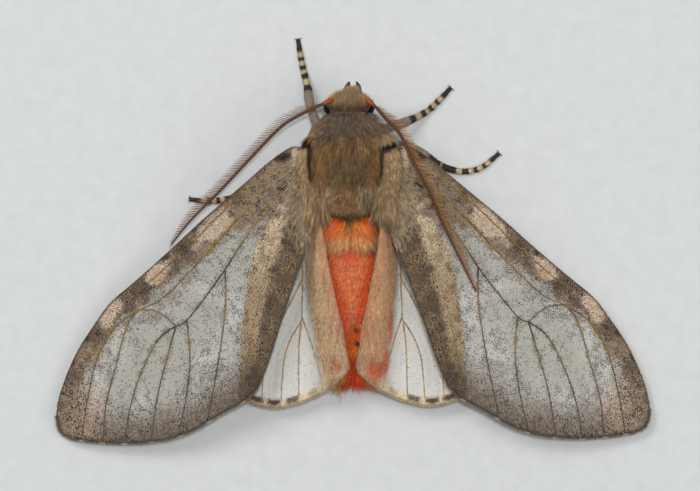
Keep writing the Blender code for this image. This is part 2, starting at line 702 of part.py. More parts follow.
def end_tuft():
    """The tuft at the abdomen's end: locks that fan out flat in two halves."""
    front = ABDOMEN_END - GAP
    rings = []
    for y, share in ((front, 0.62), (front - 0.45, 0.5), (front - 0.8, 0.3)):
        half, low, high = abdomen_size(y)
        middle = (low + high) / 2
        rings.append([Vector((half * share * math.sin(t), y,
                              middle + (high - low) / 2 * share * math.cos(t)))
                      for t in (2 * math.pi * k / 12 for k in range(12))])
    mesh = mesh_of("tuft", loft(rings))
    locks = []
    for drop, reach, places in TUFT_ROWS:
        for out in places:
            start = Vector((out * 0.75, front - 0.2, 1.7 + drop))
            end = Vector((out * 2.1, front - 1.15 * reach, 1.15 + drop * 0.5))
            bend = (start + end) / 2 + Vector((out * 0.1, 0, 0.08))
            path = smooth_path((start, bend, end), 2)
            locks.append(lock(path, [Vector((0, 0, 1))] * 5, 0.85, LOCK_THICK))
    joined = combined(mesh, [mesh_of("lock", shape) for shape in locks])
    piece("end_tuft", leaned(joined), "orange_hair")


# Legs and feelers

def on_floor(shape):
    """Flattens what would reach under the floor, which gives a foot its resting flat."""
    corners, faces = shape
    return [Vector((c.x, c.y, max(c.z, 0.0))) for c in corners], faces


def legs():
    """Thigh, shin and foot of each leg."""
    for leg, parts in LEGS.items():
        for part, points in zip(LEG_PARTS, parts):
            path = smooth_path(points, 2)
            shape = tube(path, LEG_PARTS[part], 6)
            piece(f"{leg}_{part}", mesh_of(part, on_floor(shape)), "leg_scale")


def feelers():
    """The two comb feelers: a shaft with a row of branches to the side and one below."""
    for side, sign in SIDES.items():
        path = smooth_path(FEELERS[side], 2)
        shaft = mesh_of("shaft", tube(path, SHAFT_RADIUS, 6, pointed=True))
        lengths = [0.0]
        for a, b in zip(path, path[1:]):
            lengths.append(lengths[-1] + (b - a).length)
        branches = []
        distance = FIRST_BRANCH
        while distance < lengths[-1] - BARE_TIP:
            spot = max(i for i in range(len(path) - 1) if lengths[i] <= distance)
            share = (distance - lengths[spot]) / (lengths[spot + 1] - lengths[spot])
            root = path[spot].lerp(path[spot + 1], share)
            ahead = (path[spot + 1] - path[spot]).normalized()
            out = ahead.cross(Vector((0, 0, 1))).normalized() * -sign
            left = (lengths[-1] - distance) / lengths[-1]
            length = BRANCH_LENGTH * min(1.0, 0.45 + left * 3)
            for reach_out, reach_up in BRANCH_ROWS:
                sweep = out * reach_out + Vector((0, 0, reach_up)) + ahead * BRANCH_SWEEP
                sweep.normalize()
                rod = [root, root + sweep * length * 0.55, root + sweep * length]
                branches.append(mesh_of("branch", tube(rod, BRANCH_RADII, 3, pointed=True)))
            distance += BRANCH_STEP
        piece(f"feeler_{side}", combined(shaft, branches), "feeler_brown", 60)


thorax()
collar()
tegulae()
head()
eyes()
palps()
abdomen()
end_tuft()
wing("forewing", FOREWING_OUTLINE, FOREWING_VEINS, forewing_height, MESH_STEP, "forewing_scale")
wing("hindwing", HINDWING_OUTLINE, HINDWING_VEINS, hindwing_height, FOLD_STEP, "hindwing_scale")
legs()
feelers()
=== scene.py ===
import math
import random

import bmesh
import bpy
import numpy as np
from mathutils import Matrix, Vector
from mathutils.geometry import delaunay_2d_cdt


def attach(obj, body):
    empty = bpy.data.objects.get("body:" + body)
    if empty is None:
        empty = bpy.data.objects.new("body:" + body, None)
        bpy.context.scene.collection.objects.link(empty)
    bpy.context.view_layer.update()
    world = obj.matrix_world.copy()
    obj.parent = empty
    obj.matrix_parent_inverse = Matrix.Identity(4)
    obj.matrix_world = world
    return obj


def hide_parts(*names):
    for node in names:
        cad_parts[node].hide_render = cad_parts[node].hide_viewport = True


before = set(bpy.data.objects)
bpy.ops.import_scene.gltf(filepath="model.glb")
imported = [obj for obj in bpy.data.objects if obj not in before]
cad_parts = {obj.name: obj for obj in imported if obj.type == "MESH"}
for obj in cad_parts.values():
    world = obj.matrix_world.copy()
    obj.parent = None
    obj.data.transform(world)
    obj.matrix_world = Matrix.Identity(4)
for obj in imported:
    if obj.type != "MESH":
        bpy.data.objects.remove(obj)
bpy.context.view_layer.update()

# Floor, camera and light. The moth lies flat with its wings spread and is seen from straight
# above, so the camera looks down and is turned so that the head points up in the picture. The
# floor is a sheet of plain pale card, lit softly from the upper left.
MM = 0.001                     # one millimetre in the frame's metres


def colour(code):
    """Linear red, green, blue and alpha of an sRGB hex value."""
    parts = [int(code[k:k + 2], 16) / 255 for k in (1, 3, 5)]
    linear = [p / 12.92 if p <= 0.04045 else ((p + 0.055) / 1.055) ** 2.4 for p in parts]
    return linear + [1.0]


def node(tree, kind, inputs=(), stops=(), **settings):
    """Adds a node with its settings, its inputs' values or links, and its ramp's stops."""
    made = tree.nodes.new(kind)
    for name, value in settings.items():
        setattr(made, name, value)
    for socket, value in dict(inputs).items():
        if isinstance(value, bpy.types.NodeSocket):
            tree.links.new(value, made.inputs[socket])
        else:
            made.inputs[socket].default_value = value
    for number, (place, code) in enumerate(stops):
        elements = made.color_ramp.elements
        if number < 2:
            element = elements[number]
            element.position = place
        else:
            element = elements.new(place)
        element.color = colour(code) if isinstance(code, str) else (code, code, code, 1.0)
    return made


def new_finish(name, roughness, specular=0.3):
    """A new material with the tree and the shader that its nodes lead to."""
    made = bpy.data.materials.new(name)
    made.use_nodes = True
    shader = made.node_tree.nodes["Principled BSDF"]
    shader.inputs["Roughness"].default_value = roughness
    shader.inputs["Specular IOR Level"].default_value = specular
    return made, made.node_tree, shader


def mesh_piece(name, corners, faces, finish=None, smooth=True):
    """An object at the origin whose corners are given in millimetres."""
    mesh = bpy.data.meshes.new(name)
    mesh.from_pydata([tuple(float(v) * MM for v in c) for c in corners], [], faces)
    mesh.update()
    if smooth:
        mesh.shade_smooth()
    if finish is not None:
        mesh.materials.append(finish)
    piece = bpy.data.objects.new(name, mesh)
    bpy.context.scene.collection.objects.link(piece)
    return piece


# Card, matte: uncoated white paper board, which scatters light and shows a faint tooth of about a
# millimetre
FLOOR_SIDE = 1200.0
card, tree, shader = new_finish("white_card", 0.9, 0.2)
place = node(tree, "ShaderNodeTexCoord").outputs["Object"]
tooth = node(tree, "ShaderNodeTexNoise", {"Vector": place, "Scale": 0.9 / MM, "Detail": 3.0})
tone = node(tree, "ShaderNodeValToRGB", {"Fac": tooth.outputs["Fac"]},
            stops=((0.2, "#bbbdbc"), (0.8, "#c3c5c4")))
tree.links.new(tone.outputs["Color"], shader.inputs["Base Color"])
half = FLOOR_SIDE / 2
floor = mesh_piece("floor", [(-half, -half, 0), (half, -half, 0), (half, half, 0), (-half, half, 0)],
                   [(0, 1, 2, 3)], card, smooth=False)

CAMERA_OVER = (-0.1, -0.5, 302.0)      # where it hangs, above the middle of the picture
PICTURE_WIDTH = 700 / 13.1             # millimetres across the picture, at the height of the wings
WING_LEVEL = 2.0
PICTURE_TURN = math.radians(0.65)      # the moth is turned this little against the picture
camera_data = bpy.data.cameras.new("camera")
camera_data.sensor_width = 36.0
camera_data.lens = 36.0 * (CAMERA_OVER[2] - WING_LEVEL) / PICTURE_WIDTH
camera_data.clip_start = 0.01
camera = bpy.data.objects.new("camera", camera_data)
camera.matrix_world = (Matrix.Translation(Vector(CAMERA_OVER) * MM)
                       @ Matrix.Rotation(-PICTURE_TURN, 4, "Z"))
bpy.context.scene.collection.objects.link(camera)
bpy.context.scene.camera = camera

LAMPS = (  # name, place in millimetres, side in millimetres, watts
    ("key_light", (-230, 260, 420), 220, 1.5),
    ("fill_light", (300, -120, 380), 320, 0.6),
    ("flash_light", (12, 30, 330), 16, 0.46),
)
for name, spot, side, watts in LAMPS:
    lamp = bpy.data.lights.new(name, "AREA")
    lamp.size = side * MM
    lamp.energy = watts
    holder = bpy.data.objects.new(name, lamp)
    holder.location = Vector(spot) * MM
    holder.rotation_euler = Vector(spot).to_track_quat("Z", "Y").to_euler()
    bpy.context.scene.collection.objects.link(holder)
world = bpy.data.worlds.new("studio")
world.use_nodes = True
world.node_tree.nodes["Background"].inputs["Color"].default_value = colour("#f2f5f8")
world.node_tree.nodes["Background"].inputs["Strength"].default_value = 0.38
bpy.context.scene.world = world
bpy.context.scene.view_settings.view_transform = "Standard"

# Body: the firm skin of head, thorax and abdomen under the hair, one closed form. It is horny
# skin, dull, in rings along the abdomen, and it shows only where the hair parts, darkened there as
# painted shade.
BODY_BALLS = (  # middle and radii of the rounded forms that run into one another
    ((-0.1, 5.3, 4.0), (3.45, 3.35, 2.4)),
    ((-0.1, 7.3, 3.75), (3.05, 2.15, 1.9)),
    ((-2.45, 5.2, 4.55), (1.4, 2.8, 1.25)),
    ((2.25, 5.2, 4.55), (1.4, 2.8, 1.25)),
    ((-0.06, 9.0, 3.6), (1.8, 1.0, 1.25)),
    ((-0.05, 10.1, 3.4), (1.25, 0.85, 1.2)),
    ((-0.05, 10.0, 3.85), (1.5, 0.72, 0.75)),
    ((0.12, 10.65, 3.7), (0.72, 0.6, 0.75)),
)
ABDOMEN_STATIONS = (  # y, half width, lowest and highest z
    (2.6, 1.7, 1.7, 3.7), (0.6, 2.15, 1.1, 4.5), (-2.5, 2.2, 0.9, 4.4), (-5.5, 2.05, 0.8, 4.0),
    (-8.5, 1.75, 0.8, 3.2), (-10.3, 1.45, 0.85, 2.55), (-12.1, 2.1, 0.9, 1.55),
)
ABDOMEN_END, ABDOMEN_ROOT, ABDOMEN_LEAN = -10.9, (-0.25, 2.0), math.radians(2.0)
RING_LENGTH, RING_DEPTH = 1.85, 0.07
ABDOMEN_STEP, ABDOMEN_SIDES = 0.15, 40
END_LENGTH, END_TAPER = 0.6, 0.9       # where the abdomen closes, and how fast
ABDOMEN_COAT = 0.3             # depth of the abdomen's short hair
SKIN_STEP = 0.12               # size of the skin's facets


def soft(value, low, high):
    """0 up to low and 1 from high on, with an eased step between; low may be the larger."""
    share = np.clip((value - low) / (high - low), 0.0, 1.0)
    return share * share * (3 - 2 * share)


def abdomen_size(y):
    """Half width, lowest and highest z of the abdomen at each y."""
    stations = np.array(ABDOMEN_STATIONS)[::-1]
    place = np.interp(np.atleast_1d(y), stations[:, 0], np.arange(len(stations)))
    first = np.minimum(place.astype(int), len(stations) - 2)
    ease = soft(place - first, 0.0, 1.0)[:, None]
    return (stations[first, 1:] * (1 - ease) + stations[first + 1, 1:] * ease).T


body_work = bmesh.new()
for middle, radii in BODY_BALLS:
    where = Matrix.Translation(middle) @ Matrix.Diagonal((*radii, 1.0))
    bmesh.ops.create_uvsphere(body_work, u_segments=40, v_segments=24, radius=1.0, matrix=where)
rings = []
for y in np.arange(ABDOMEN_STATIONS[0][0], ABDOMEN_END, -ABDOMEN_STEP):
    half, low, high = (value[0] for value in abdomen_size(y))
    inset = ABDOMEN_COAT + RING_DEPTH * abs(math.sin(math.pi * y / RING_LENGTH)) ** 0.5
    if y < ABDOMEN_END + END_LENGTH:
        inset += END_TAPER * (ABDOMEN_END + END_LENGTH - y)
    turns = [math.tau * k / ABDOMEN_SIDES for k in range(ABDOMEN_SIDES)]
    rings.append([body_work.verts.new(((half - inset) * math.sin(t), y, (low + high) / 2
                                       + ((high - low) / 2 - inset) * math.cos(t)))
                  for t in turns])
leaned = (Matrix.Translation((*ABDOMEN_ROOT, 0)) @ Matrix.Rotation(ABDOMEN_LEAN, 4, "Z")
          @ Matrix.Translation((0, -ABDOMEN_ROOT[1], 0)))
bmesh.ops.transform(body_work, matrix=leaned, verts=[v for ring in rings for v in ring])
for ring, after in zip(rings, rings[1:]):
    for k in range(ABDOMEN_SIDES):
        body_work.faces.new((ring[k], ring[k - 1], after[k - 1], after[k]))
body_work.faces.new(rings[0])
body_work.faces.new(rings[-1][::-1])
bmesh.ops.recalc_face_normals(body_work, faces=body_work.faces)
bmesh.ops.scale(body_work, vec=(MM, MM, MM), verts=body_work.verts)
body_mesh = bpy.data.meshes.new("body_forms")
body_work.to_mesh(body_mesh)
body_work.free()
body_forms = bpy.data.objects.new("body_forms", body_mesh)
bpy.context.scene.collection.objects.link(body_forms)
joined = body_forms.modifiers.new("one_skin", "REMESH")
joined.mode = "VOXEL"
joined.voxel_size = SKIN_STEP * MM
eased = body_forms.modifiers.new("eased", "SMOOTH")
eased.factor = 0.5
eased.iterations = 5


def corners_of(piece):
    """A piece's corners in millimetres, as rows of x, y and z."""
    places = np.empty(len(piece.data.vertices) * 3, np.float32)
    piece.data.vertices.foreach_get("co", places)
    return places.reshape(-1, 3).astype(float) / MM


FLOOR_EASE = 0.1               # lower than this, a piece is eased upwards so that it rests on the floor


def evaluated(piece, name):
    """The plain mesh that a piece and its modifiers give, as a new object; the piece goes."""
    graph = bpy.context.evaluated_depsgraph_get()
    mesh = bpy.data.meshes.new_from_object(piece.evaluated_get(graph))
    bpy.data.objects.remove(piece)
    mesh.name = name
    made = bpy.data.objects.new(name, mesh)
    places = corners_of(made)
    low = places[:, 2] < FLOOR_EASE
    places[low, 2] = FLOOR_EASE * np.exp(places[low, 2] / FLOOR_EASE - 1)
    mesh.vertices.foreach_set("co", (places * MM).astype(np.float32).ravel())
    mesh.update()
    bpy.context.scene.collection.objects.link(made)
    return made


def normals_of(piece):
    """The outward direction at each of a piece's corners."""
    ways = np.empty(len(piece.data.vertices) * 3, np.float32)
    piece.data.vertices.foreach_get("normal", ways)
    return ways.reshape(-1, 3).astype(float)


def unit(rows):
    """Rows of numbers brought to length 1."""
    return rows / np.linalg.norm(rows, axis=1)[:, None]


def set_layers(piece, **layers):
    """Stores values for each corner: plain numbers, directions or colours, told by their width."""
    kinds = {1: ("FLOAT", "value"), 3: ("FLOAT_VECTOR", "vector"), 4: ("FLOAT_COLOR", "color")}
    for name, values in layers.items():
        values = np.asarray(values, np.float32)
        kind, slot = kinds[values.shape[1] if values.ndim > 1 else 1]
        if name in piece.data.attributes:
            piece.data.attributes.remove(piece.data.attributes[name])
        piece.data.attributes.new(name, kind, "POINT").data.foreach_set(slot, values.ravel())


def plain(code, rows):
    """One colour for each of a number of rows."""
    return np.tile(colour(code), (len(rows), 1))


def painted(colours, code, weight):
    """Colours with another laid over them by a weight from 0 to 1."""
    return colours + (np.array(colour(code)) - colours) * np.clip(weight, 0, 1)[:, None]


def coated(colours, coats):
    """Colours with several others laid over them in turn, each by its weight."""
    for code, weight in coats:
        colours = painted(colours, code, weight)
    return colours


def oval(points, middle, radii):
    """How far plan points lie from the middle of an oval: 0 there and 1 on its rim."""
    return np.hypot(*((points - middle) / radii).T)


def from_line(points, line):
    """Distance of plan points from a line through the given ones."""
    best = np.full(len(points), 1e9)
    for start, end in zip(np.array(line[:-1]), np.array(line[1:])):
        run = end - start
        share = np.clip(((points - start) @ run) / (run @ run), 0, 1)[:, None]
        best = np.minimum(best, np.linalg.norm(points - start - share * run, axis=1))
    return best


CLOUD_CELLS = 64               # patches each way before a cloud repeats


def cloud(points, size, seed):
    """Soft uneven patches of about a size, from 0 to 1, over plan points."""
    grid = np.random.default_rng(seed).random((CLOUD_CELLS + 2, CLOUD_CELLS + 2))
    u, v = np.mod(points.T / size, CLOUD_CELLS)
    i, j = u.astype(int), v.astype(int)
    s, t = soft(u - i, 0, 1), soft(v - j, 0, 1)
    near = grid[i, j] * (1 - s) + grid[i + 1, j] * s
    far = grid[i, j + 1] * (1 - s) + grid[i + 1, j + 1] * s
    return near * (1 - t) + far * t


body = evaluated(body_forms, "body_skin")
body.data.shade_smooth()
spots = corners_of(body)
facing = normals_of(body)
x, y, z = spots.T
plan = spots[:, :2]

# Where each kind of hair grows, as weights from 0 to 1
COLLAR_EDGE, NECK = 8.0, 9.6
SHOULDER_INNER = {-1: -2.93, 1: 2.28}   # x of the dark streak between back and shoulder flap
on_head = soft(y, NECK - 0.1, NECK + 0.1)
on_abdomen = soft(y, 2.0, 1.8) * (z < 6)
on_thorax = 1 - np.maximum(on_head, on_abdomen)
upper = soft(z + 0.8 * soft(y, 4.2, 3.2), 3.0, 3.6)
collar_line = COLLAR_EDGE - 0.2 * soft(np.abs(x), 1.2, 2.2)
on_collar = on_thorax * soft(y, collar_line - 0.1, collar_line + 0.1) * soft(z, 1.6, 2.2)
on_shoulder = {side: on_thorax * upper * (1 - on_collar)
               * soft(side * (x - SHOULDER_INNER[side]), -0.1, 0.1) for side in (-1, 1)}
on_shoulders = on_shoulder[-1] + on_shoulder[1]
on_back = on_thorax * upper * (1 - on_collar) * (1 - on_shoulders)
on_belly = on_thorax * (1 - np.maximum.reduce([on_collar, on_back, on_shoulders]))

# The way the hair lies, its length in millimetres, and how steeply it stands in radians
from_streak = np.minimum(*[np.abs(x - inner) for inner in SHOULDER_INNER.values()])
way = np.zeros((len(spots), 3))
way[:, 1] = -1
way[:, 0] += on_collar * x * 0.22 + on_back * x * 0.14 * soft(from_streak, 0.2, 1.2)
way[:, 0] += (on_shoulder[1] - on_shoulder[-1]) * 0.3 * soft(from_streak, 0.3, 1.2)
way[:, 2] -= on_shoulders * 0.1
HEAD_TUFT_TIP = np.array((0.1, 11.95, 4.2))
to_tip = HEAD_TUFT_TIP - spots
tuft_distance = np.linalg.norm(to_tip, axis=1)
way = way * (1 - on_head)[:, None] + (to_tip / tuft_distance[:, None]) * on_head[:, None]
rear = soft(y, 4.6, 2.4)
reach = on_collar * (1.0 - 0.3 * soft(np.abs(x), 2.0, 2.8)) + on_belly * 1.0
reach += on_back * (1.35 - 0.6 * soft(y, 4.0, 2.5)) + on_shoulders * (1.2 + 1.7 * rear)
reach += on_head * np.clip(tuft_distance * 0.75, 0.35, 1.1) + on_abdomen * 0.6
rise = on_collar * 0.14 + on_back * 0.1 + on_belly * 0.2 + on_head * 0.2 + on_abdomen * 0.1
rise += on_shoulders * (0.12 - 0.05 * rear)
rearward = soft(-facing[:, 1], 0.35, 0.9) * on_thorax * soft(y, 4.4, 3.2)
way[:, 2] -= rearward * 0.9
rise += rearward * (0.8 + 0.45 * on_shoulders)

# Markings of the thorax and head, in hair colours: roots, and paler tips; and a painted shadow in
# the hollow behind the thorax
marking = plain("#b08e68", spots)
marking = painted(marking, "#665145", on_collar * soft(np.abs(x), 3.0, 1.6))
marking = painted(marking, "#6a4519", on_back * 0.95)
pale = on_back * soft(y, 5.2, 3.8) * soft(np.abs(x + 0.3), 0.5, 1.2)
marking = painted(marking, "#c8a473", pale)
for middle in ((-2.2, 5.5), (1.62, 5.6)):
    rust = soft(oval(plan, middle, (0.85, 1.9)), 1.0, 0.4)
    marking = painted(marking, "#a45c0c", on_back * rust * 0.95)
tufts = cloud(plan * (1, 0.25) + 40, 0.24, 8)
marking = painted(marking, "#c4a774", (on_back * 0.7 + on_shoulders) * soft(tufts, 0.58, 0.85) * 0.5)
marking = painted(marking, "#402c16", on_back * soft(tufts, 0.45, 0.15) * 0.7)
middle_rear = on_back * soft(y, 5.0, 3.6) * soft(np.abs(x + 0.3), 1.2, 0.5)
marking = painted(marking, "#d09c60", middle_rear * 0.85)
# Painted shadow: a dark oval at the back of the thorax, in the hollow where it meets the abdomen
marking = painted(marking, "#3e2f1e", on_back * soft(y, 2.4, 2.05) * soft(np.abs(x + 0.3), 1.5, 1.1))
tipping = coated(marking, (
    ("#dcc698", 0.7 * np.ones(len(spots))),
    ("#8f6a34", on_back * 0.55 * (1 - pale)),
    ("#ecdab0", pale * 0.8),
    ("#86705c", on_collar * 0.75),
))
STREAKS = (  # a blob and a streak beside each shoulder flap
    (((-3.65, 7.5), (-3.05, 7.35)), ((-2.97, 7.1), (-2.94, 5.1))),
    (((3.0, 7.3), (2.6, 7.05)), ((2.35, 7.0), (2.28, 5.1))),
)
for blob, streak in STREAKS:
    dark = np.maximum(soft(from_line(plan, blob), 0.36, 0.24), soft(from_line(plan, streak), 0.17, 0.09))
    dark = dark * soft(z, 3.6, 4.0)
    marking = painted(marking, "#120d0c", dark)
    tipping = painted(tipping, "#120d0c", dark)
    reach = reach * (1 - 0.35 * soft(from_line(plan, blob), 0.5, 0.3))
marking = painted(marking, "#8a6c48", on_head)
tipping = painted(tipping, "#c0a276", on_head)
nape = on_head * soft(y, 10.0, 9.6)
marking = painted(marking, "#5d3a28", nape * 0.7)
tipping = painted(tipping, "#8a6042", nape * 0.7)

# Markings of the abdomen: red, with a paler wedge along its top and dark marks near its end
unlean = np.array(leaned.inverted())[:2, :2]
ax, ay = ((plan - np.array(ABDOMEN_ROOT)) @ unlean.T).T
ay = ay + ABDOMEN_ROOT[1]
wedge = 1.3 + 0.3 * (ay + 2.3)         # half width of the paler wedge
end_red = soft(ay, -8.8, -9.4)
body_red = coated(plain("#ff6e34", spots), (
    ("#ff8a4c", soft(np.abs(ax), wedge + 0.1, wedge - 0.3)),
    ("#ff5c24", soft(np.hypot(ax / 1.7, (ay + 1.0) / 0.75), 1.0, 0.4) * 0.85),
    ("#e0966a", soft(ay, -5.0, -6.4) * soft(np.abs(ax), 0.9, 0.2) * 0.5),
    ("#ff7620", soft(ay, -6.2, -6.9)),
    ("#ff942c", soft(oval(plan, (0.15, -8.5), (0.7, 0.45)), 1.0, 0.5)),
    ("#8a5a20", soft(oval(plan, (0.45, -9.3), (0.3, 0.22)), 1.1, 0.6)),
    ("#e8440c", end_red),
    ("#b3a58a", soft(z, 2.4, 1.5) * (1 - end_red)),
))
for middle, radii, strength in (((0.34, -6.8), (0.32, 0.38), 0.75), ((0.38, -7.92), (0.34, 0.36), 1.0)):
    spot = soft(oval(plan, middle, radii) + 0.7 * tufts, 1.25, 0.8)
    body_red = painted(body_red, "#1c110e", spot * soft(z, 2.2, 2.6) * strength)
weight = on_abdomen[:, None]
marking = marking * (1 - weight) + body_red * weight
pale_red = painted(body_red, "#fbd0a0", soft(np.abs(ax), wedge, wedge - 0.4) * soft(ay, -7, -6) * 0.6)
tipping = tipping * (1 - weight) + pale_red * weight

around = np.arctan2(x + 0.1, z - 2.6) / math.tau + 0.5
unwrap = np.column_stack((around, (y + 12.5) / 25.0, 0 * x))
set_layers(body, marking=marking, tipping=tipping, way=way, reach=reach * MM, rise=rise)

# Moth skin: chitin, a horny sheet in life, dull between the hairs. Its colour is the hair's marking
# darkened by its grain to between three and six tenths, as painted shade for the gaps deep in the
# coat. Its grain is drawn a quarter of a millimetre wide, coarser than life, so that it shows.
TIMES = {"data_type": "RGBA", "blend_type": "MULTIPLY"}        # one colour multiplied by another
skin_finish, tree, shader = new_finish("chitin_skin", 0.6)
stain = node(tree, "ShaderNodeAttribute", attribute_name="marking").outputs["Color"]
place = node(tree, "ShaderNodeTexCoord").outputs["Object"]
grain = node(tree, "ShaderNodeTexNoise", {"Vector": place, "Scale": 4 / MM, "Detail": 3.0})
# Painted shade: the marking darkened, as if the hair over it shaded the skin
shadow = node(tree, "ShaderNodeValToRGB", {"Fac": grain.outputs["Fac"]},
              stops=((0.3, 0.3), (0.75, 0.6)))
dim = node(tree, "ShaderNodeMix", {0: 1.0, 6: stain, 7: shadow.outputs["Color"]}, **TIMES)
tree.links.new(dim.outputs[2], shader.inputs["Base Color"])
bump = node(tree, "ShaderNodeBump", {"Height": grain.outputs["Fac"], "Strength": 0.5,
                                     "Distance": 0.03 * MM})
tree.links.new(bump.outputs["Normal"], shader.inputs["Normal"])
body.data.materials.clear()
body.data.materials.append(skin_finish)
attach(body, "root")
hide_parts("thorax", "collar", "tegula_left", "tegula_right", "head", "abdomen", "end_tuft")

# Hair of the body: soft, thin scales drawn out to hairs, grown in small locks that lie backwards
# and overlap. Each lock is a few tapering strands, rooted in the skin.
PATCH = 0.003                  # side of a lock's patch on its piece's OFBake map


def spike_faces(first, rings):
    """Faces of a three-sided spike: its rings of corners follow one another from a number, then its tip."""
    faces = [(first, first + 1, first + 2)]
    for low in range(first, first + 3 * (rings - 1), 3):
        faces += [(low + k, low + 3 + k, low + 3 + (k + 1) % 3, low + (k + 1) % 3) for k in range(3)]
    low = first + 3 * (rings - 1)
    return faces + [(low + k, low + 3, low + (k + 1) % 3) for k in range(3)]


def model_of(name, corners, faces, smooth, **layers):
    """A small part to be repeated, in its own measures and not shown itself."""
    mesh = bpy.data.meshes.new(name)
    mesh.from_pydata(corners, [], faces)
    if smooth:
        mesh.shade_smooth()
    model = bpy.data.objects.new(name, mesh)
    set_layers(model, **layers)
    return model


def lock_mesh(name, strands, joints, bow, gather):
    """A lock 1 long and 1 wide that grows along +Y and bows up, of strands that draw together."""
    draw = random.Random(name)
    corners, faces, along, patch, tone = [], [], [], [], []
    for strand in range(strands):
        start = (strand + 0.5) / strands - 0.5
        length = draw.uniform(0.7, 1.0)
        hang = draw.uniform(-0.05, 0.05)
        strand_tone = draw.random()
        half = 0.62 / strands
        first = len(corners)
        for joint in range(joints + 1):
            t = joint / joints
            middle = start * (1 - (1 - gather) * t)
            height = bow * math.sin(math.pi * t * 0.9) + hang * t
            width = half * (1 - t) ** 0.7 * 0.8
            if joint == joints:
                ring = [(middle, t * length, height)]
            else:
                ring = [(middle - width, t * length, height), (middle + width, t * length, height),
                        (middle, t * length, height + width * 0.35)]
            corners += ring
            along += [t] * len(ring)
            tone += [strand_tone] * len(ring)
            patch += [(c[0] + 0.5, c[1], 0.0) for c in ring]
        faces += spike_faces(first, joints)
    return model_of(name, corners, faces, True, along=along, patch=patch, tone=tone)


def started_tree(name, output, **inputs):
    """A tree with its named inputs and one output of geometry, and what it is given."""
    tree = bpy.data.node_groups.new(name, "GeometryNodeTree")
    for label, kind in inputs.items():
        tree.interface.new_socket(label, in_out="INPUT", socket_type=f"NodeSocket{kind}")
    tree.interface.new_socket(output, in_out="OUTPUT", socket_type="NodeSocketGeometry")
    return tree, node(tree, "NodeGroupInput").outputs


def made_by(tree, source, name, used_up, **values):
    """What a tree makes of a piece, as a plain mesh; values are its inputs, the layers used up go."""
    modifier = source.modifiers.new(tree.name, "NODES")
    modifier.node_group = tree
    for item in tree.interface.items_tree:
        if item.item_type == "SOCKET" and item.name in values:
            modifier[item.identifier] = values[item.name]
    made = evaluated(source, name)
    for layer in used_up:
        if layer in made.data.attributes:
            made.data.attributes.remove(made.data.attributes[layer])
    made.data.shade_smooth()
    return made


